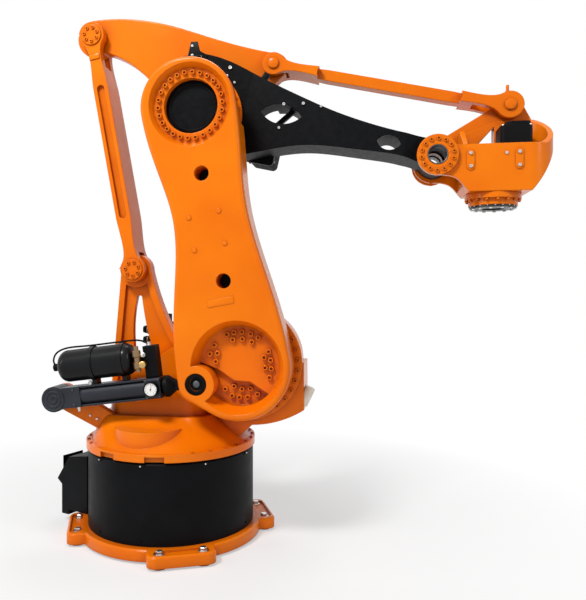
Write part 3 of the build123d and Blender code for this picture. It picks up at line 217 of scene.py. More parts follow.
def fastener_group():
    """Geometry Nodes group: one head on each given point, turned at random about its own axis."""
    group = bpy.data.node_groups.new("fasteners", "GeometryNodeTree")
    group.is_modifier = True
    wanted = (
        ("Places", "Geometry"), ("Head", "Object"), ("Facing", "Vector"), ("Head Radius", "Float"),
        ("Head Height", "Float"), ("Seed", "Int"), ("Finish", "Material"),
    )
    for label, kind in wanted:
        group.interface.new_socket(label, in_out="INPUT", socket_type="NodeSocket" + kind)
    group.interface.new_socket("Fasteners", in_out="OUTPUT", socket_type="NodeSocketGeometry")
    tree = Tree(group)
    given = {label: tree.node("NodeGroupInput", {}, output=label) for label, kind in wanted}
    head = tree.node("GeometryNodeObjectInfo", {"Object": given["Head"]}, output="Geometry")
    facing = tree.node("FunctionNodeAlignRotationToVector", {"Vector": given["Facing"]}, axis="Z")
    spin_inputs = {2: 0.0, 3: math.tau, "Seed": given["Seed"]}
    spin = tree.node("FunctionNodeRandomValue", spin_inputs, output=1, data_type="FLOAT")
    about = tree.node("ShaderNodeCombineXYZ", {"Z": spin})
    turn = tree.node("FunctionNodeEulerToRotation", {0: about})
    turned_inputs = {"Rotation": facing, "Rotate By": turn}
    rotation = tree.node("FunctionNodeRotateRotation", turned_inputs, rotation_space="LOCAL")
    size_inputs = {"X": given["Head Radius"], "Y": given["Head Radius"], "Z": given["Head Height"]}
    size = tree.node("ShaderNodeCombineXYZ", size_inputs)
    placed_inputs = {"Points": given["Places"], "Instance": head, "Rotation": rotation, "Scale": size}
    placed = tree.node("GeometryNodeInstanceOnPoints", placed_inputs)
    solid = tree.node("GeometryNodeRealizeInstances", {0: placed})
    done = tree.node("GeometryNodeSetMaterial", {"Geometry": solid, "Material": given["Finish"]})
    tree.node("NodeGroupOutput", {"Fasteners": done})
    return group


fasteners = fastener_group()
fastener_inputs = {
    item.name: item.identifier for item in fasteners.interface.items_tree if item.in_out == "INPUT"
}


class Piece:
    """Small parts of one body, built in the robot's own frame from turned, cut and bent shapes."""

    def __init__(self, name):
        self.name = name
        self.shape = bmesh.new()
        self.finishes = []

    def index(self, finish):
        if finish not in self.finishes:
            self.finishes.append(finish)
        return self.finishes.index(finish)

    def face(self, corners, finish):
        made = self.shape.faces.new(corners)
        made.material_index = self.index(finish)
        return made

    def turned(self, place, axis, profile, finish, steps=32):
        """A turned part: (radius, height) points along its axis, from its foot to its tip."""
        where = Matrix.Translation(place) @ Vector(axis).to_track_quat("Z", "Y").to_matrix().to_4x4()
        rings = []
        for radius, height in profile:
            count = steps if radius else 1
            turns = [math.tau * k / count for k in range(count)]
            rings.append([
                self.shape.verts.new(where @ Vector((radius * math.cos(t), radius * math.sin(t), height)))
                for t in turns
            ])
        for low, high in zip(rings, rings[1:]):
            for k in range(steps):
                n = k + 1
                corners = [low[k % len(low)], low[n % len(low)], high[n % len(high)], high[k % len(high)]]
                self.face(list(dict.fromkeys(corners)), finish)
        return self

    def plate(self, place, facing, up, outline, thickness, finish, edge=0.0):
        """A flat part: an outline in the plane that faces `facing`, a thickness and a rounded edge."""
        z = Vector(facing).normalized()
        x = Vector(up).cross(z).normalized()
        where = Matrix.Translation(place) @ Matrix((x, z.cross(x), z)).transposed().to_4x4()
        low = [self.shape.verts.new(where @ Vector((u, v, 0))) for u, v in outline]
        high = [self.shape.verts.new(where @ Vector((u, v, thickness))) for u, v in outline]
        self.face(low[::-1], finish)
        top = self.face(high, finish)
        for k in range(len(outline)):
            n = (k + 1) % len(outline)
            self.face((low[k], low[n], high[n], high[k]), finish)
        if edge:
            bmesh.ops.bevel(
                self.shape, geom=list(top.edges), offset=edge, segments=2, profile=0.5, affect="EDGES",
                material=self.index(finish),
            )
        return self

    def bent(self, points, radius, finish, steps=10, spans=5):
        """A round bar or pipe bent smoothly through the points."""
        ends = [Vector(p) for p in points]
        ends = [2 * ends[0] - ends[1]] + ends + [2 * ends[-1] - ends[-2]]
        line = []
        for a, b, c, d in zip(ends, ends[1:], ends[2:], ends[3:]):
            for k in range(spans):
                t = k / spans
                slope = (c - a) * t
                bow = (2 * a - 5 * b + 4 * c - d) * t ** 2
                twist = (3 * b - a - 3 * c + d) * t ** 3
                line.append(0.5 * (2 * b + slope + bow + twist))
        line.append(ends[-2])
        across = (line[1] - line[0]).orthogonal().normalized()
        turns = [math.tau * n / steps for n in range(steps)]
        rings = []
        for k, point in enumerate(line):
            along = (line[min(k + 1, len(line) - 1)] - line[max(k - 1, 0)]).normalized()
            across = (across - along * across.dot(along)).normalized()
            aside = along.cross(across)
            rings.append([
                self.shape.verts.new(point + radius * (math.cos(t) * across + math.sin(t) * aside))
                for t in turns
            ])
        for low, high in zip(rings, rings[1:]):
            for n in range(steps):
                self.face((low[n], low[(n + 1) % steps], high[(n + 1) % steps], high[n]), finish)
        self.face(rings[0][::-1], finish)
        self.face(rings[-1], finish)
        return self

    def screws(self, places, facing, size, finish, seed=1, head=hex_socket_head):
        """Like fasteners that face one way, from the group. Their size is a head's radius and height."""
        head_mesh = bpy.data.meshes.new("head")
        head().to_mesh(head_mesh)
        head_object = bpy.data.objects.new("head", head_mesh)
        place_mesh = bpy.data.meshes.new("places")
        place_mesh.from_pydata([tuple(place) for place in places], [], [])
        holder = bpy.data.objects.new("places", place_mesh)
        for scratch in (head_object, holder):
            bpy.context.scene.collection.objects.link(scratch)
        modifier = holder.modifiers.new("fasteners", "NODES")
        modifier.node_group = fasteners
        values = {
            "Head": head_object, "Facing": tuple(facing), "Head Radius": size[0], "Head Height": size[1],
            "Seed": seed, "Finish": finish,
        }
        for label, value in values.items():
            modifier[fastener_inputs[label]] = value
        evaluated = holder.evaluated_get(bpy.context.evaluated_depsgraph_get())
        result = bpy.data.meshes.new_from_object(evaluated)
        earlier = set(self.shape.faces)
        self.shape.from_mesh(result)
        for made in self.shape.faces:
            if made not in earlier:
                made.material_index = self.index(finish)
        for scratch in (holder, head_object):
            bpy.data.objects.remove(scratch)
        return self

    def ride(self, body):
        """Finishes the mesh and fixes the piece to its body."""
        bmesh.ops.recalc_face_normals(self.shape, faces=self.shape.faces)
        mesh = bpy.data.meshes.new(self.name)
        self.shape.to_mesh(mesh)
        for finish in self.finishes:
            mesh.materials.append(finish)
        mesh.shade_smooth()
        mesh.set_sharp_from_angle(angle=math.radians(38))
        piece = bpy.data.objects.new(self.name, mesh)
        bpy.context.scene.collection.objects.link(piece)
        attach(piece, body)


def ring(centre, facing, radius, count, start=0.0):
    """Places on a circle in the plane that faces `facing`."""
    where = Vector(facing).to_track_quat("Z", "Y").to_matrix()
    turns = [math.radians(start + 360.0 * k / count) for k in range(count)]
    return [Vector(centre) + where @ Vector((radius * math.cos(t), radius * math.sin(t), 0)) for t in turns]


def about_swivel(radius, turns, level):
    """Places about the swivel axis at the given turns, all at one level."""
    return [(radius * math.cos(math.radians(t)), radius * math.sin(math.radians(t)), level) for t in turns]


NEAR = (0, -1, 0)
FAR = (0, 1, 0)
UP = (0, 0, 1)
DOWN = (0, 0, -1)
ORANGE = (0.90, 0.205, 0.002, 1.0)
ORANGE_DEEP = (0.83, 0.162, 0.001, 1.0)
ORANGE_EDGE_HIGHLIGHT = (0.95, 0.27, 0.010, 1.0)
ORANGE_SHADE_AND_GRIME = (0.28, 0.036, 0.001, 1.0)

orange = Finish("orange_paint", IOR=1.25)
tone = orange.mix(orange.ramp(orange.noise(3.0, 2.0), 0.35, 0.7), ORANGE_DEEP, ORANGE)
# Painted highlight: the orange turns lighter along every edge.
tone = orange.mix(0.3 * orange.edges(0.005), tone, ORANGE_EDGE_HIGHLIGHT)
# Painted shade with some grime: the orange darkens to a deep red-brown in corners and recesses that the
# ambient occlusion node finds, unevenly through a noise.
corners = orange.node("ShaderNodeAmbientOcclusion", {"Distance": 0.05}, output="AO", samples=4)
recess_shade_and_grime = (1.0 - corners) * (0.75 + 0.6 * orange.noise(14.0, 4.0))
skin = 0.7 * orange.noise(11.0, 2.0) + 0.3 * orange.noise(210.0, 2.0)
orange_paint = orange.feed(
    Base_Color=orange.mix(recess_shade_and_grime.clamp() * 0.85, tone, ORANGE_SHADE_AND_GRIME),
    Roughness=0.13 + 0.14 * orange.noise(9.0, 3.0),
    Normal=orange.bump(skin, 0.22, 0.006, 0.007),
)
paint(
    orange_paint,
    "base_plate", "column", "shoulder_ring", "linkage_bracket", "balancer_bracket", "swivel_gearbox",
    "link_arm", "elbow_ring", "rocker", "rocker_cap", "lower_rod", "lower_rod_pins",
    "upper_rod", "upper_rod_pins", "wrist_housing", "flange_gearbox", "wrist_ring_near", "wrist_ring_far",
)

bright_steel = Finish("bright_steel", Base_Color=(0.62, 0.61, 0.59, 1.0), Metallic=1.0)
bright_steel_finish = bright_steel.feed(
    Roughness=0.22 + 0.22 * bright_steel.noise(60.0, 3.0),
    Normal=bright_steel.bump(bright_steel.noise(260.0, 2.0), 0.08, 0.001, 0.0008),
)

ANCHOR_CIRCLE = 0.480
ANCHOR_SPREAD = 12
FIRST_LOBE = 22
POCKET_FLOOR = 0.056
ANCHOR_HEAD = (0.024, 0.019)
anchor_turns = [FIRST_LOBE + 90 * lobe + side * ANCHOR_SPREAD for lobe in range(4) for side in (-1, 1)]
anchors = Piece("anchor_bolts")
anchors.screws(
    about_swivel(ANCHOR_CIRCLE, anchor_turns, POCKET_FLOOR), UP, ANCHOR_HEAD, bright_steel_finish, 3,
    washer_bolt_head,
)
anchors.ride("base")


# Drum: a rolled steel casing in satin black that covers the swivel gear. Small clips on its top rim
# and a row of button screws near its foot hold it to the frame inside.
BLACK = (0.0028, 0.0030, 0.0036, 1.0)
BLACK_WORN = (0.0052, 0.0056, 0.0066, 1.0)
BLACK_EDGE_HIGHLIGHT = (0.022, 0.023, 0.026, 1.0)

smooth_black = Finish("smooth_black", Specular_IOR_Level=0.07)
black_tone = smooth_black.mix(smooth_black.ramp(smooth_black.noise(5.0), 0.35, 0.7), BLACK, BLACK_WORN)
# Painted highlight: the black turns lighter along every edge.
smooth_black_paint = smooth_black.feed(
    Base_Color=smooth_black.mix(0.5 * smooth_black.edges(0.003), black_tone, BLACK_EDGE_HIGHLIGHT),
    Roughness=0.34 + 0.22 * smooth_black.noise(14.0, 4.0),
    Normal=smooth_black.bump(smooth_black.noise(120.0, 3.0), 0.10, 0.002),
)
paint(smooth_black_paint, "base_drum", "connector_box", "slew_ring", "valve_block", "balancer_rod")

DRUM_RADIUS = 0.424
CLIP_TURNS = [-161, -127, -93, -52, -14, 30, 66, 104]
CLIP_LEVEL = 0.435
CLIP_THICKNESS = 0.005
BUTTON_LEVEL = 0.090
SUNK = 0.002
SMALL_SCREW = (0.004, 0.003)
BUTTON_SCREW = (0.006, 0.004)


def rectangle(width, height):
    u, v = width / 2, height / 2
    return [(-u, -v), (u, -v), (u, v), (-u, v)]


clips = Piece("drum_clips")
for turn in CLIP_TURNS:
    out = Vector((math.cos(math.radians(turn)), math.sin(math.radians(turn)), 0))
    clip_foot = out * (DRUM_RADIUS - SUNK) + Vector((0, 0, CLIP_LEVEL))
    button_foot = out * DRUM_RADIUS + Vector((0, 0, BUTTON_LEVEL))
    clips.plate(clip_foot, out, UP, rectangle(0.040, 0.012), CLIP_THICKNESS, smooth_black_paint, 0.0015)
    clips.screws([clip_foot + out * CLIP_THICKNESS], out, SMALL_SCREW, bright_steel_finish)
    clips.screws([button_foot], out, BUTTON_SCREW, smooth_black_paint)
clips.ride("base")


# Connector box: folded sheet steel in the same black. Two round sockets with bayonet rings and a bolted
# lid face outwards, away from the arm.
BOX_TURN = math.radians(157)
BOX_FACE = 0.609
BOX_LEVEL = 0.286
SOCKET_SHIFTS = (-0.12, -0.02)
SOCKET_SCREW = (0.0024, 0.003)
SOCKET_PROFILE = [
    (0, 0), (0.034, 0), (0.034, 0.006), (0.028, 0.007), (0.028, 0.024), (0.030, 0.025), (0.030, 0.034),
    (0.024, 0.036), (0.022, 0.030), (0, 0.030),
]
LID_SHIFT = 0.12
LID_THICKNESS = 0.003
box_out = Vector((math.cos(BOX_TURN), math.sin(BOX_TURN), 0))
box_side = Vector((-math.sin(BOX_TURN), math.cos(BOX_TURN), 0))


def on_box(shift, rise=0.0, proud=0.0):
    """A place on the box's outer face, by its shift to the side and its rise over the sockets."""
    return box_out * (BOX_FACE + proud) + box_side * shift + Vector((0, 0, BOX_LEVEL + rise))


sockets = Piece("box_sockets")
for shift in SOCKET_SHIFTS:
    sockets.turned(on_box(shift), box_out, SOCKET_PROFILE, bright_steel_finish, 28)
    socket_screws = ring(on_box(shift, proud=0.005), box_out, 0.031, 4, 45)
    sockets.screws(socket_screws, box_out, SOCKET_SCREW, bright_steel_finish)
sockets.plate(
    on_box(LID_SHIFT), box_out, UP, rectangle(0.14, 0.10), LID_THICKNESS, smooth_black_paint, 0.001,
)
lid_screws = [on_box(LID_SHIFT + a, b, LID_THICKNESS) for a in (-0.06, 0.06) for b in (-0.04, 0.04)]
sockets.screws(lid_screws, box_out, SMALL_SCREW, bright_steel_finish)
sockets.ride("base")


# Column: the swivelling iron casting. Painted socket screws hold it to the turntable and close its
# shoulder ring, and bright ones run along the bracket that holds the balancer.
TURNTABLE_TOP = 0.490
TURNTABLE_CIRCLE = 0.419
TURNTABLE_SCREW = (0.0075, 0.006)
COVERED_TURNS = (-118, -84)
SHOULDER = (0.410, 0.885)
SHOULDER_CIRCLE = 0.264
SHOULDER_SCREW = (0.0115, 0.010)
BRACKET_EDGE = [(-0.360, 0.616), (-0.326, 0.600), (-0.289, 0.581), (-0.253, 0.563), (-0.222, 0.549)]
BRACKET_SCREW = (0.006, 0.005)


def near_face(name):
    """The level of a node's near face."""
    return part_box(name)[0][1]


def at(pair, level):
    """A place from its x and z in the side view, at one level across the robot."""
    return (pair[0], level, pair[1])


turntable_turns = [t for t in range(-180, 180, 12) if min(abs(t - c) for c in COVERED_TURNS) > 14]
turntable_places = about_swivel(TURNTABLE_CIRCLE, turntable_turns, TURNTABLE_TOP)
shoulder_places = ring(at(SHOULDER, near_face("shoulder_ring")), NEAR, SHOULDER_CIRCLE, 32, 4)
bracket_places = [at(pair, near_face("balancer_bracket")) for pair in BRACKET_EDGE]
column_screws = Piece("column_screws")
column_screws.screws(turntable_places, UP, TURNTABLE_SCREW, orange_paint, 5)
column_screws.screws(shoulder_places, NEAR, SHOULDER_SCREW, orange_paint, 7)
column_screws.screws(bracket_places, NEAR, BRACKET_SCREW, bright_steel_finish, 8)
column_screws.ride("column")


# Servo motors: cast aluminium in matt black. Each has two round connectors with a bright band on its
# side and four screws in its flange.
motor_black = Finish("motor_black", Specular_IOR_Level=0.09)
# Painted highlight: the black turns lighter along every edge.
motor_black_finish = motor_black.feed(
    Base_Color=motor_black.mix(0.6 * motor_black.edges(0.002), BLACK, BLACK_EDGE_HIGHLIGHT),
    Roughness=0.42 + 0.15 * motor_black.noise(40.0, 3.0),
    Normal=motor_black.bump(motor_black.noise(300.0, 2.0), 0.15, 0.001, 0.002),
)
paint(motor_black_finish, "swivel_motor", "shoulder_motor", "elbow_motor", "wrist_motor")

CONNECTOR_PROFILE = [
    (0, -0.008), (0.019, -0.008), (0.019, 0.014), (0.022, 0.016), (0.022, 0.036), (0.019, 0.038),
    (0.019, 0.046), (0.012, 0.048), (0, 0.048),
]
CONNECTOR_FOOT = 0.060
BAND_FOOT = 0.078
CONNECTOR_SHARES = (0.62, 0.84)
FLANGE_THICKNESS = 0.028
FLANGE_CORNER = 0.062
FLANGE_SCREW = (0.007, 0.007)


def disc(radius, top, foot=0.0):
    """The profile of a plain round disc."""
    return [(0, foot), (radius, foot), (radius, top), (0, top)]


def motor_fittings(name, body, foot, axis, side, length):
    """Two connectors at shares of the motor's length, and its flange screws."""
    along = Vector(axis)
    out = Vector(side)
    wide = along.cross(out)
    fittings = Piece(name)
    for share in CONNECTOR_SHARES:
        middle = Vector(foot) + along * length * share
        fittings.turned(middle + out * CONNECTOR_FOOT, out, CONNECTOR_PROFILE, motor_black_finish, 20)
        fittings.turned(middle + out * BAND_FOOT, out, disc(0.0226, 0.005), bright_steel_finish, 24)
    flange = Vector(foot) + along * FLANGE_THICKNESS
    sides = (-FLANGE_CORNER, FLANGE_CORNER)
    corners = [flange + wide * a + out * b for a in sides for b in sides]
    fittings.screws(corners, along, FLANGE_SCREW, bright_steel_finish)
    fittings.ride(body)


motor_fittings("swivel_motor_fittings", "column", (-0.118, 0.205, 0.800), UP, (-1, 0, 0), 0.265)
motor_fittings("shoulder_motor_fittings", "column", (0.410, 0.120, 0.885), FAR, UP, 0.240)


# Stop buffer: a moulded block of cream plastic, screwed to the column from behind. It softens the end
# of the link arm's travel.
cream = Finish("cream_plastic", Base_Color=(0.76, 0.66, 0.52, 1.0))
cream_tone = cream.ramp(cream.noise(25.0, 3.0), 0.3, 0.75, (0.86, 0.80, 0.70), (0.74, 0.64, 0.50))
cream_plastic = cream.feed(
    Base_Color=cream_tone,
    Roughness=0.45 + 0.15 * cream.noise(30.0),
    Normal=cream.bump(cream.noise(90.0, 3.0), 0.1, 0.002),
)
paint(cream_plastic, "stop_buffer")


# Link arm: the long orange casting. Painted socket screws fill its foot well in groups, a ring of them
# stands in the elbow recess, and four small bosses and one bare pad rise from its web. Thin black discs
# deep in its two round holes are painted shade.
LINK_NEAR = -0.340
WELL_FLOOR = -0.268
POCKET_LEVEL = -0.228
WELL_SCREW = (0.0135, 0.016)
WELL_PAIRS = [
    (-57, 150), (-23, 160), (15, 163), (57, 154), (93, 137), (-29, 125), (17, 129), (62, 116), (-118, 99),
    (-139, 57), (-103, 61), (-111, 21), (142, 72), (121, 44), (152, 32), (125, -4), (155, -8), (146, -49),
]
POCKET_PAIRS = [
    (-73, -114), (-30, -100), (8, -112), (49, -109), (84, -135), (-40, -145), (-4, -152), (36, -150),
]
ELBOW = (0.18435, 2.11446)
RECESS_FLOOR = -0.310
RECESS_CIRCLE = 0.156
RECESS_SCREW = (0.0120, 0.014)
BOSS_PROFILE = [(0, -0.004), (0.013, -0.004), (0.0125, 0.002), (0.010, 0.004), (0, 0.004)]
BOSSES = ((0.184, 1.581), (0.327, 1.612), (0.211, 1.429), (0.355, 1.462))
PAD_AT = (0.335, LINK_NEAR + 0.002, 1.190)
PAD_LEAN = math.radians(-10.4)
LINK_HOLES = ((0.2443, 1.7887), (0.3490, 1.2868))
HOLE_SHADE_DISC_LEVEL = -0.2405
HOLE_RADIUS = 0.0345


def from_shoulder(pairs, level):
    """Places given in millimetres from the shoulder axis."""
    return [(SHOULDER[0] + x / 1000, level, SHOULDER[1] + z / 1000) for x, z in pairs]


link_screws = Piece("link_arm_screws")
link_screws.screws(from_shoulder(WELL_PAIRS, WELL_FLOOR), NEAR, WELL_SCREW, orange_paint, 11)
link_screws.screws(from_shoulder(POCKET_PAIRS, POCKET_LEVEL), NEAR, WELL_SCREW, orange_paint, 12)
recess_places = ring(at(ELBOW, RECESS_FLOOR), NEAR, RECESS_CIRCLE, 26, 3)
link_screws.screws(recess_places, NEAR, RECESS_SCREW, orange_paint, 13)
for pair in BOSSES:
    link_screws.turned(at(pair, LINK_NEAR), NEAR, BOSS_PROFILE, orange_paint, 24)
link_screws.plate(
    PAD_AT, NEAR, (math.sin(PAD_LEAN), 0, math.cos(PAD_LEAN)), rectangle(0.128, 0.036), 0.004,
    orange_paint, 0.0015,
)
# Painted shade: a thin black disc deep in each round hole darkens it.
for pair in LINK_HOLES:
    link_screws.turned(at(pair, HOLE_SHADE_DISC_LEVEL), NEAR, disc(HOLE_RADIUS, 0.0015), smooth_black_paint)
link_screws.ride("link_arm")


# Elbow cover: a black cast lid with a raised rim, pressed into the elbow recess. Its coarse enamel is
# that of the arm.
cast_black = Finish("cast_black", Specular_IOR_Level=0.05)
grain = 0.6 * cast_black.noise(170.0, 5.0, 0.7) + 0.4 * cast_black.noise(40.0, 3.0)
cast_tone = cast_black.mix(cast_black.ramp(cast_black.noise(30.0, 4.0), 0.35, 0.7), BLACK, BLACK_WORN)
# Painted highlight: the black turns lighter along every edge.
cast_black_paint = cast_black.feed(
    Base_Color=cast_black.mix(0.35 * cast_black.edges(0.005), cast_tone, BLACK_EDGE_HIGHLIGHT),
    Roughness=0.30 + 0.25 * cast_black.noise(60.0, 4.0),
    Normal=cast_black.bump(grain, 0.55, 0.0025, 0.005),
)
paint(cast_black_paint, "arm", "elbow_cover")

RIM_PROFILE = [
    (0.104, -0.001), (0.122, -0.001), (0.122, 0.003), (0.119, 0.005), (0.107, 0.005), (0.104, 0.002),
    (0.104, -0.001),
]
cover = Piece("elbow_cover_rim")
cover.turned(at(ELBOW, near_face("elbow_cover")), NEAR, RIM_PROFILE, cast_black_paint, 64)
cover.ride("link_arm")


# Balancer pin: a blacked steel pin that joins the balancer's rod to the link arm. A round nut holds it
# deep in its boss, and its turned end is bare.
dark_steel = Finish("dark_steel", Base_Color=(0.10, 0.10, 0.105, 1.0), Metallic=0.85)
dark_steel_finish = dark_steel.feed(
    Roughness=0.32 + 0.2 * dark_steel.noise(50.0, 3.0),
    Normal=dark_steel.bump(dark_steel.noise(200.0, 2.0), 0.08, 0.001, 0.001),
)
paint(smooth_black_paint, "balancer_pin")

NUT_AT = (0.216, -0.322, 0.803)
NUT_PROFILE = [
    (0.033, 0), (0.050, 0), (0.050, 0.012), (0.047, 0.014), (0.035, 0.014), (0.033, 0.012), (0.033, 0),
]
PIN_END_PROFILE = [(0, 0), (0.016, 0), (0.016, 0.004), (0.013, 0.006), (0, 0.006)]
pin_nut = Piece("balancer_pin_nut")
pin_nut.turned(NUT_AT, NEAR, NUT_PROFILE, smooth_black_paint, 40)
pin_nut.turned(NUT_AT, NEAR, PIN_END_PROFILE, dark_steel_finish, 24)
pin_nut.ride("link_arm")


# Arm: the black casting, sand-cast with a coarse skin. Its ring carries orange screws. An upright
# bracket of sheet steel is screwed to its heel, and a small post and bright screws stand on its back.
ELBOW_RING_CIRCLE = 0.201
CAP_SCREW = (0.008, 0.007)
HEEL_BRACKET = [
    (-0.045, -0.045), (0.062, -0.045), (0.060, -0.012), (0.024, 0.006), (0.012, 0.056), (-0.022, 0.056),
]
HEEL_BRACKET_SCREWS = [(0.146, -0.134, 2.462), (0.146, -0.134, 2.415), (0.188, -0.134, 2.404)]
HEEL_SCREW = (0.0065, 0.006)
BACK_POST_AT = (0.506, -0.100, 2.286)
BACK_POST_UP = (0.57, 0, 0.82)
ARM_SCREW_HEIGHT = 0.008
ARM_SCREWS = (
    (0.338, 2.345, 0.009), (0.322, 2.306, 0.007), (0.360, 2.270, 0.006), (0.608, 2.146, 0.008),
    (0.704, 2.141, 0.008), (0.584, 2.032, 0.007), (0.790, 2.120, 0.006),
)


def skin_of(name, x, z, reach=-1.0):
    """The place where a line from the near side first meets a node."""
    node = nodes[name]
    back = node.matrix_world.inverted()
    start = back @ Vector((x, reach, z))
    found, place, normal, face = node.ray_cast(start, (back @ Vector((x, 0, z)) - start).normalized())
    return node.matrix_world @ place


arm_parts = Piece("arm_fittings")
elbow_ring_places = ring(at(ELBOW, near_face("elbow_ring")), NEAR, ELBOW_RING_CIRCLE, 24, 6)
arm_parts.screws(elbow_ring_places, NEAR, CAP_SCREW, orange_paint, 17)
arm_parts.plate((0.160, -0.126, 2.428), NEAR, UP, HEEL_BRACKET, 0.008, smooth_black_paint, 0.002)
arm_parts.plate((0.156, -0.136, 2.392), UP, FAR, rectangle(0.085, 0.090), 0.006, smooth_black_paint, 0.002)
arm_parts.screws(HEEL_BRACKET_SCREWS, NEAR, HEEL_SCREW, bright_steel_finish)
arm_parts.plate(BACK_POST_AT, NEAR, BACK_POST_UP, rectangle(0.030, 0.060), 0.024, smooth_black_paint, 0.003)
for x, z, head_radius in ARM_SCREWS:
    arm_parts.screws([skin_of("arm", x, z)], NEAR, (head_radius, ARM_SCREW_HEIGHT), bright_steel_finish, 18)
arm_parts.ride("arm")
motor_fittings("elbow_motor_fittings", "arm", (0.4653, 0.040, 1.9732), FAR, UP, 0.240)


# Linkage: orange cast rods on pins. Seven screws hold each lower cap, and a plain round cover closes
# each upper one. Grease nipples, a bare pad and a threaded stud stand on the rod heads.
REAR_LOW = (-0.194, 1.351)
REAR_HIGH = (-0.41965, 2.58046)
FRONT_HIGH = (0.54235, 2.38346)
FRONT_WRIST = (1.67885, 2.12734)
ROD_LEAN = (0.1804, 0, -0.9836)
ROD_CAP_CIRCLE = 0.036
ROD_CAP_SCREW = (0.009, 0.007)
COVER_PROFILE = [(0, -0.002), (0.026, -0.002), (0.026, 0.002), (0.024, 0.003), (0, 0.003)]
NIPPLE_PROFILE = [
    (0, -0.006), (0.0075, -0.006), (0.0075, 0.006), (0.005, 0.008), (0.004, 0.014), (0.006, 0.016),
    (0.006, 0.020), (0.003, 0.023), (0, 0.023),
]
STUD_PROFILE = [
    (0, -0.006), (0.011, -0.006), (0.011, 0.006), (0.0075, 0.009), (0.0075, 0.032), (0.005, 0.035),
    (0, 0.035),
]
lower_caps = Piece("lower_rod_caps")
for x, z in (REAR_LOW, REAR_HIGH):
    cap_places = ring((x, near_face("lower_rod_pins"), z), NEAR, ROD_CAP_CIRCLE, 7, 20)
    lower_caps.screws(cap_places, NEAR, ROD_CAP_SCREW, orange_paint, 19)
    lower_caps.turned((x - 0.064, -0.030, z + 0.004), (-1, 0, 0.3), NIPPLE_PROFILE, bright_steel_finish, 12)
rod_pad = rectangle(0.056, 0.028)
lower_caps.plate((-0.402, -0.063, 2.464), NEAR, ROD_LEAN, rod_pad, 0.004, orange_paint, 0.0015)
lower_caps.ride("lower_rod")

upper_caps = Piece("upper_rod_caps")
for pair in (FRONT_HIGH, FRONT_WRIST):
    upper_caps.turned(at(pair, near_face("upper_rod_pins")), NEAR, COVER_PROFILE, orange_paint, 40)
stud_at = (FRONT_WRIST[0] - 0.010, -0.030, FRONT_WRIST[1] + 0.062)
upper_caps.turned(stud_at, UP, STUD_PROFILE, orange_paint, 16)
upper_caps.ride("upper_rod")

LINKAGE_SCREW = (0.008, 0.008)
LINKAGE_SCREWS = [
    (-0.300, -0.008, 0.760), (-0.262, -0.008, 0.735), (-0.010, -0.008, 0.760), (0.004, -0.008, 0.735),
]
bracket_screws = Piece("linkage_bracket_screws")
bracket_screws.screws(LINKAGE_SCREWS, NEAR, LINKAGE_SCREW, orange_paint, 23)
bracket_screws.ride("column")


# Rocker: the orange lever behind the arm. Its far side shows the bearing cap, with a ring of painted
# screws about a low hub.
ROCKER_CIRCLE = 0.134
HUB_PROFILE = [
    (0, -0.002), (0.060, -0.002), (0.060, 0.004), (0.056, 0.007), (0.030, 0.007), (0.026, 0.003), (0, 0.003),
]


def far_face(name):
    """The level of a node's far face."""
    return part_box(name)[1][1]


rocker_middle = at(ELBOW, far_face("rocker_cap"))
rocker_screws = Piece("rocker_screws")
rocker_screws.screws(ring(rocker_middle, FAR, ROCKER_CIRCLE, 14, 8), FAR, CAP_SCREW, orange_paint, 29)
rocker_screws.turned(rocker_middle, FAR, HUB_PROFILE, orange_paint, 40)
rocker_screws.ride("rocker")


# Wrist: the orange bowl between two hinge rings. Each ring has fourteen screws, and its bore is lined
# with a steel sleeve. Oval pads with two bright screws each sit on the near wall, and screws run round
# the collar of the flange gearbox.
WRIST = (1.32085, 1.85834)
WRIST_CIRCLE = 0.072
WRIST_SCREW = (0.0092, 0.008)
WRIST_WALL = -0.245
SLEEVE_PROFILE = [
    (0.0405, -0.060), (0.0455, -0.060), (0.0455, 0.001), (0.0435, 0.003), (0.0405, 0.001), (0.0405, -0.060),
]
PAD_SCREW = (0.0078, 0.007)
WALL_SCREW = (0.007, 0.005)
TOOL = (1.58485, -0.1175)
COLLAR_LEVEL = 1.662
COLLAR_CIRCLE = 0.118
COLLAR_SCREW = (0.0075, 0.009)
GEARBOX_LEVEL = 1.633
GEARBOX_CIRCLE = 0.1065
GEARBOX_SCREW = (0.003, 0.004)


def oval(width, height, steps=20):
    straight = (height - width) / 2
    points = []
    for k in range(steps + 1):
        turn = math.pi * k / steps
        points.append((width / 2 * math.cos(turn), straight + width / 2 * math.sin(turn)))
    return points + [(-u, -v) for u, v in points]


wrist_parts = Piece("wrist_fittings")
for face, facing in ((near_face("wrist_ring_near"), NEAR), (far_face("wrist_ring_far"), FAR)):
    centre = at(WRIST, face)
    wrist_parts.screws(ring(centre, facing, WRIST_CIRCLE, 14, 10), facing, WRIST_SCREW, orange_paint, 31)
    wrist_parts.turned(centre, facing, SLEEVE_PROFILE, dark_steel_finish, 40)
for x in (1.466, 1.676):
    pad_at = (x, WRIST_WALL + 0.004, 1.832)
    wrist_parts.plate(pad_at, NEAR, UP, oval(0.034, 0.094), 0.008, orange_paint, 0.002)
    for z in (1.862, 1.803):
        wrist_parts.screws([(x, WRIST_WALL - 0.004, z)], NEAR, PAD_SCREW, bright_steel_finish, 37)
wrist_parts.screws([(1.621, WRIST_WALL, 1.859)], NEAR, WALL_SCREW, bright_steel_finish, 38)
collar_places = ring((*TOOL, COLLAR_LEVEL), DOWN, COLLAR_CIRCLE, 16)
gearbox_places = ring((*TOOL, GEARBOX_LEVEL), DOWN, GEARBOX_CIRCLE, 20, 5)
wrist_parts.screws(collar_places, DOWN, COLLAR_SCREW, orange_paint, 41)
wrist_parts.screws(gearbox_places, DOWN, GEARBOX_SCREW, bright_steel_finish, 42)
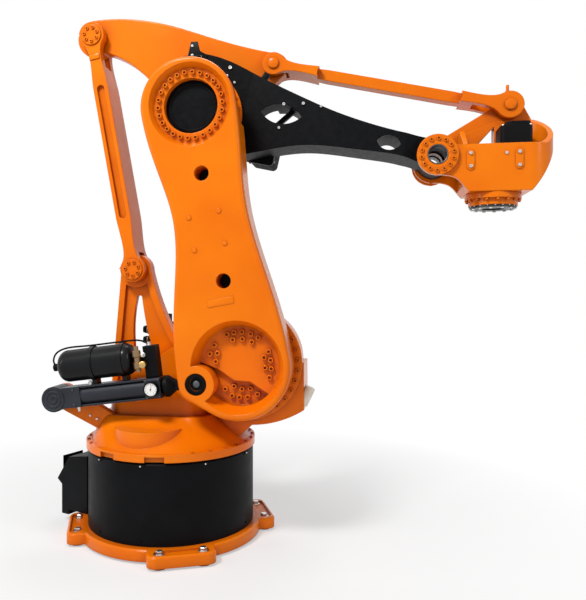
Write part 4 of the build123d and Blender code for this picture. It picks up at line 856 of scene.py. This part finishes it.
wrist_parts.turned((1.318, 0.030, 1.794), DOWN, STUD_PROFILE, orange_paint, 16)
wrist_parts.ride("wrist")


# Tool flange: the machined steel disc that a tool is bolted to, left bare and lightly oiled. Twelve
# bright screws hold it to the gearbox.
steel = Finish("machined_steel", Base_Color=(0.045, 0.045, 0.048, 1.0), Metallic=0.8)
steel_finish = steel.feed(
    Roughness=0.25 + 0.2 * steel.noise(40.0, 3.0),
    Normal=steel.bump(steel.noise(220.0, 2.0), 0.05, 0.001, 0.0015),
)
paint(steel_finish, "tool_flange")

TOOL_CIRCLE = 0.092
TOOL_SCREW = (0.0085, 0.006)
flange_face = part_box("tool_flange")[0][2]
flange_screws = Piece("tool_flange_screws")
flange_places = ring((*TOOL, flange_face), DOWN, TOOL_CIRCLE, 12, 15)
flange_screws.screws(flange_places, DOWN, TOOL_SCREW, bright_steel_finish, 43)
flange_screws.ride("flange")


# Wrist motor: a small servo motor in matt black that stands in the bowl and turns the flange. Its lid
# carries two connector sockets and four bright screws.
LID_CORNER = 0.060
LID_DROP = 0.022
LID_SCREW = (0.005, 0.005)
LID_SOCKET_PROFILE = [(0, 0), (0.017, 0), (0.017, 0.026), (0.015, 0.028), (0.015, 0.034), (0, 0.034)]
motor_low, motor_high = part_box("wrist_motor")
motor_x = (motor_low[0] + motor_high[0]) / 2
motor_y = (motor_low[1] + motor_high[1]) / 2
wrist_connectors = Piece("wrist_motor_connectors")
for shift in (-0.026, 0.026):
    socket_foot = (motor_x + shift, motor_y, motor_high[2] - 0.026)
    wrist_connectors.turned(socket_foot, (0, -0.3, 1), LID_SOCKET_PROFILE, motor_black_finish, 20)
lid_sides = (-LID_CORNER, LID_CORNER)
lid_corners = [(motor_x + a, motor_y + b, motor_high[2] - LID_DROP) for a in lid_sides for b in lid_sides]
wrist_connectors.screws(lid_corners, UP, LID_SCREW, bright_steel_finish)
wrist_connectors.ride("wrist")


# Balancer: a gas-sprung cylinder in blue-grey enamel. Its yoke is turned in rings, and dark screws
# close its head, its foot block and the two bands of its barrel.
GREY = (0.012, 0.014, 0.020, 1.0)
GREY_LIGHT = (0.022, 0.026, 0.034, 1.0)
GREY_EDGE_HIGHLIGHT = (0.09, 0.10, 0.12, 1.0)

cylinder_grey = Finish("cylinder_grey", Coat_Roughness=0.1, Coat_Weight=0.1, Specular_IOR_Level=0.2)
grey_tone = cylinder_grey.mix(cylinder_grey.ramp(cylinder_grey.noise(8.0), 0.3, 0.7), GREY, GREY_LIGHT)
# Painted highlight: the grey turns lighter along every edge.
cylinder_paint = cylinder_grey.feed(
    Base_Color=cylinder_grey.mix(0.6 * cylinder_grey.edges(0.003), grey_tone, GREY_EDGE_HIGHLIGHT),
    Roughness=0.32 + 0.15 * cylinder_grey.noise(20.0, 3.0),
    Normal=cylinder_grey.bump(cylinder_grey.noise(120.0, 3.0), 0.06, 0.002),
)
paint(cylinder_paint, "balancer_yoke", "balancer_cylinder", "balancer_head", "balancer_foot_pin")

FOOT = (-0.505, 0.709)
LEAN = math.radians(7.43)
BARREL_Y = -0.262
YOKE_FACE = -0.312
HEAD_MIDDLE = 0.5065
HEAD_SCREW = (0.005, 0.004)
BLOCK_SCREW = (0.0055, 0.005)
BAND_SCREW = (0.005, 0.003)
BAND_PLACES = (0.204, 0.402)
BARREL_RADIUS = 0.0515
YOKE_PROFILE = [
    (0, -0.002), (0.056, -0.002), (0.056, 0.003), (0.051, 0.003), (0.049, 0.0005), (0.042, 0.0005),
    (0.040, 0.004), (0.033, 0.004), (0.031, 0.001), (0.022, 0.001), (0.020, 0.005), (0.012, 0.005),
    (0.009, 0.002), (0, 0.001),
]
barrel_along = Vector((math.cos(LEAN), 0, math.sin(LEAN)))
barrel_up = Vector((-math.sin(LEAN), 0, math.cos(LEAN)))


def on_barrel(distance, rise=0.0, y=BARREL_Y):
    """A place by its distance along the cylinder from the foot pin and its rise above the axis."""
    spot = Vector((FOOT[0], 0, FOOT[1])) + barrel_along * distance + barrel_up * rise
    return Vector((spot.x, y, spot.z))


head_places = [on_barrel(HEAD_MIDDLE + a, b, YOKE_FACE) for a in (-0.030, 0.030) for b in (-0.040, 0.040)]
block_places = [on_barrel(0.105, b, YOKE_FACE) for b in (-0.036, 0.036)]
yoke_rings = Piece("balancer_fittings")
yoke_rings.turned(at(FOOT, YOKE_FACE), NEAR, YOKE_PROFILE, cylinder_paint, 48)
yoke_rings.screws(head_places, NEAR, HEAD_SCREW, dark_steel_finish, 47)
yoke_rings.screws(block_places, NEAR, BLOCK_SCREW, dark_steel_finish, 48)
for distance in BAND_PLACES:
    for side in (-1, 1):
        band_places = [on_barrel(distance, side * BARREL_RADIUS, BARREL_Y + s) for s in (-0.03, 0.03)]
        yoke_rings.screws(band_places, side * barrel_up, BAND_SCREW, dark_steel_finish)
yoke_rings.ride("balancer_barrel")


# Pressure gauge: a black case with a white dial behind glass, screwed into the near side of the
# balancer's head. Eleven black marks stand round the dial, and its needle is red.
gauge_white = Finish(
    "gauge_white", Base_Color=(0.85, 0.85, 0.83, 1.0), Coat_Weight=0.8, Coat_Roughness=0.05,
)
gauge_white_finish = gauge_white.feed(
    Roughness=0.35 + 0.1 * gauge_white.noise(50.0),
    Normal=gauge_white.bump(gauge_white.noise(300.0), 0.02, 0.001, 0.001),
)
red_enamel = Finish("red_enamel", Base_Color=(0.45, 0.012, 0.010, 1.0))
red_enamel_finish = red_enamel.feed(
    Roughness=0.3 + 0.15 * red_enamel.noise(40.0),
    Normal=red_enamel.bump(red_enamel.noise(200.0), 0.05, 0.001, 0.001),
)
paint(smooth_black_paint, "pressure_gauge")

BEZEL_PROFILE = [
    (0.0300, -0.001), (0.0352, -0.001), (0.0352, 0.003), (0.0335, 0.0055), (0.0315, 0.0055), (0.0300, 0.003),
    (0.0300, -0.001),
]
MARK_REACH = 0.026
FIRST_MARK = 225
MARK_STEP = 27
NEEDLE_TURN = math.radians(78)
NEEDLE = [(-0.0012, -0.014), (0.0012, -0.014), (0.0006, 0.016), (-0.0006, 0.016)]
gauge_low, gauge_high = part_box("pressure_gauge")
gauge_at = Vector(((gauge_low[0] + gauge_high[0]) / 2, gauge_low[1], (gauge_low[2] + gauge_high[2]) / 2))
gauge = Piece("gauge_dial")
gauge.turned(gauge_at, NEAR, BEZEL_PROFILE, smooth_black_paint, 48)
gauge.turned(gauge_at, NEAR, disc(0.0305, 0.0015, -0.001), gauge_white_finish, 48)
for k in range(11):
    turn = math.radians(FIRST_MARK - MARK_STEP * k)
    mark = Vector((math.cos(turn), 0, math.sin(turn)))
    mark_length = 0.004 if k % 5 else 0.006
    mark_at = gauge_at + mark * (MARK_REACH - mark_length / 2) + Vector((0, -0.0015, 0))
    gauge.plate(mark_at, NEAR, mark, rectangle(0.0014, mark_length), 0.0003, smooth_black_paint)
pointer = Vector((math.cos(NEEDLE_TURN), 0, math.sin(NEEDLE_TURN)))
needle_at = gauge_at + pointer * 0.006 + Vector((0, -0.002, 0))
gauge.plate(needle_at, NEAR, pointer, NEEDLE, 0.0005, red_enamel_finish)
needle_hub = [(0, 0), (0.0035, 0), (0.003, 0.002), (0, 0.002)]
gauge.turned(gauge_at + Vector((0, -0.0015, 0)), NEAR, needle_hub, smooth_black_paint, 16)
gauge.ride("balancer_barrel")


# Accumulator: a forged gas bottle in glossy black on two saddles. A red and a black fitting close its
# rear end, a bronze valve and steel unions join its neck to the cylinder, and a thin pipe runs over it.
tank_black = Finish("tank_black", Coat_Weight=0.12, Coat_Roughness=0.10, Specular_IOR_Level=0.12)
tank_black_paint = tank_black.feed(
    Base_Color=tank_black.mix(tank_black.ramp(tank_black.noise(6.0), 0.35, 0.7), BLACK, BLACK_WORN),
    Roughness=0.26 + 0.12 * tank_black.noise(25.0, 3.0),
    Normal=tank_black.bump(tank_black.noise(18.0, 2.0), 0.05, 0.004),
)
paint(tank_black_paint, "accumulator", "accumulator_saddles")
brass = Finish("brass", Base_Color=(0.55, 0.36, 0.14, 1.0), Metallic=1.0)
brass_finish = brass.feed(
    Roughness=0.28 + 0.2 * brass.noise(60.0, 3.0),
    Normal=brass.bump(brass.noise(220.0), 0.06, 0.001, 0.001),
)
valve_bronze = Finish("valve_bronze", Base_Color=(0.26, 0.17, 0.09, 1.0), Metallic=0.9)
valve_bronze_finish = valve_bronze.feed(
    Roughness=0.35 + 0.25 * valve_bronze.noise(50.0, 3.0),
    Normal=valve_bronze.bump(valve_bronze.noise(160.0), 0.15, 0.001, 0.001),
)

TANK_START = 0.038
TANK_RISE = 0.151
PIPE_RADIUS = 0.0045
REAR_FITTING = [
    (0, 0), (0.017, 0), (0.017, 0.016), (0.019, 0.018), (0.019, 0.028), (0.012, 0.032), (0, 0.032),
]
VALVE_CAP = [(0, 0), (0.014, 0), (0.014, 0.012), (0.017, 0.014), (0.017, 0.034), (0.012, 0.037), (0, 0.037)]
VALVE_BODY = [
    (0, 0), (0.013, 0), (0.013, 0.014), (0.019, 0.017), (0.019, 0.044), (0.015, 0.047), (0.015, 0.070),
    (0.020, 0.073), (0.020, 0.100), (0.012, 0.104), (0.012, 0.122), (0, 0.122),
]
SIDE_UNION = [(0, 0), (0.012, 0), (0.012, 0.010), (0.009, 0.012), (0.009, 0.024), (0.006, 0.026), (0, 0.026)]
PIPE_UNION = [(0, 0), (0.014, 0), (0.014, 0.010), (0.010, 0.012), (0.010, 0.022), (0, 0.022)]
BARREL_UNION = [(0, -0.004), (0.010, -0.004), (0.010, 0.012), (0.007, 0.014), (0.007, 0.022), (0, 0.022)]
DRAIN_PLUG = [(0, -0.004), (0.009, -0.004), (0.009, 0.008), (0.0065, 0.010), (0.0065, 0.020), (0, 0.020)]
tank_end = on_barrel(TANK_START, TANK_RISE)
fittings_in_order = (
    (tank_end + barrel_along * 0.004, -barrel_along, disc(0.024, 0.012), red_enamel_finish, 28),
    (tank_end - barrel_along * 0.008, -barrel_along, REAR_FITTING, smooth_black_paint, 20),
    (on_barrel(0.478, 0.120, -0.298), NEAR, VALVE_CAP, brass_finish, 12),
    (on_barrel(0.452, 0.088, -0.318), barrel_up, VALVE_BODY, valve_bronze_finish, 14),
    (on_barrel(0.478, 0.165, -0.296), NEAR, SIDE_UNION, bright_steel_finish, 16),
    (on_barrel(0.500, 0.200), barrel_up, PIPE_UNION, bright_steel_finish, 16),
    (on_barrel(0.188, 0.050, -0.285), barrel_up, BARREL_UNION, bright_steel_finish, 16),
    (on_barrel(0.118, -0.052, -0.290), -barrel_up, DRAIN_PLUG, bright_steel_finish, 16),
)
gas_line = [
    on_barrel(0.012, 0.152), on_barrel(0.000, 0.185), on_barrel(0.020, 0.222, -0.258),
    on_barrel(0.080, 0.240, -0.255), on_barrel(0.200, 0.238, -0.252), on_barrel(0.340, 0.238, -0.252),
    on_barrel(0.440, 0.236, -0.255), on_barrel(0.488, 0.218), on_barrel(0.500, 0.196),
]
tank_fittings = Piece("accumulator_fittings")
for fitting in fittings_in_order:
    tank_fittings.turned(*fitting)
tank_fittings.bent(gas_line, PIPE_RADIUS, smooth_black_paint)
tank_fittings.ride("balancer_barrel")


# Studio: a pale floor under a white background, lit by large soft lamps high in front, on both sides
# and behind. Rays that leave the scene see the same white, so that paint and metal reflect it.
FLOOR_SIZE = 60.0
FLOOR_COLOUR = (0.86, 0.86, 0.86, 1.0)
FLOOR_WHITE_SHARE = 0.45
FADE_START = 0.8
FADE_END = 2.5
AMBIENT = 0.20


def seen_directly(tree):
    """1 for rays from the camera, off a gloss or through glass, which see the white background."""
    kinds = ("Is Camera Ray", "Is Glossy Ray", "Is Transmission Ray")
    rays = [tree.node("ShaderNodeLightPath", {}, output=kind) for kind in kinds]
    return rays[0].math("MAXIMUM", rays[1]).math("MAXIMUM", rays[2])


floor_mesh = bpy.data.meshes.new("floor")
floor_corners = [(x, y, 0) for x, y in rectangle(FLOOR_SIZE, FLOOR_SIZE)]
floor_mesh.from_pydata(floor_corners, [], [(0, 1, 2, 3)])
floor = bpy.data.objects.new("floor", floor_mesh)
bpy.context.scene.collection.objects.link(floor)
floor_finish = Finish("studio_floor", Base_Color=FLOOR_COLOUR, Roughness=0.9)
distance = floor_finish.node(
    "ShaderNodeVectorMath", {0: floor_finish.place}, output="Value", operation="LENGTH",
)
fade = floor_finish.ramp(distance * (0.5 / FADE_END), 0.5 * FADE_START / FADE_END, 0.5)
far_away = fade * (1.0 - FLOOR_WHITE_SHARE) + FLOOR_WHITE_SHARE
glow = floor_finish.node("ShaderNodeEmission", {"Color": (1, 1, 1, 1), "Strength": 1.0})
lit = Value(floor_finish, floor_finish.shader.outputs[0])
share_white = far_away * seen_directly(floor_finish)
blended = floor_finish.node("ShaderNodeMixShader", {0: share_white, 1: lit, 2: glow})
floor_finish.tree.links.new(blended.socket, floor_finish.tree.nodes["Material Output"].inputs["Surface"])
floor_mesh.materials.append(floor_finish.material)

world = bpy.data.worlds.new("studio")
bpy.context.scene.world = world
world.use_nodes = True
sky = Tree(world.node_tree)
level = seen_directly(sky) * (1.0 - AMBIENT) + AMBIENT
background = world.node_tree.nodes["Background"]
background.inputs["Color"].default_value = (1, 1, 1, 1)
world.node_tree.links.new(level.socket, background.inputs["Strength"])


def softbox(name, place, target, width, height, power):
    """One large soft lamp that faces the target."""
    data = bpy.data.lights.new(name, "AREA")
    data.shape = "RECTANGLE"
    data.size = width
    data.size_y = height
    data.energy = power
    lamp = bpy.data.objects.new(name, data)
    lamp.location = place
    lamp.rotation_euler = (Vector(target) - Vector(place)).to_track_quat("-Z", "Y").to_euler()
    bpy.context.scene.collection.objects.link(lamp)


ROBOT_MIDDLE = (0.6, 0.0, 1.3)
softbox("key_softbox", (-1.8, -4.2, 6.5), ROBOT_MIDDLE, 1.5, 1.2, 400)
softbox("fill_softbox", (5.5, -3.0, 4.0), ROBOT_MIDDLE, 0.8, 2.4, 70)
softbox("back_softbox", (0.5, 2.5, 7.5), ROBOT_MIDDLE, 3.0, 2.0, 100)
softbox("left_softbox", (-4.5, -3.0, 3.0), ROBOT_MIDDLE, 0.7, 2.6, 50)
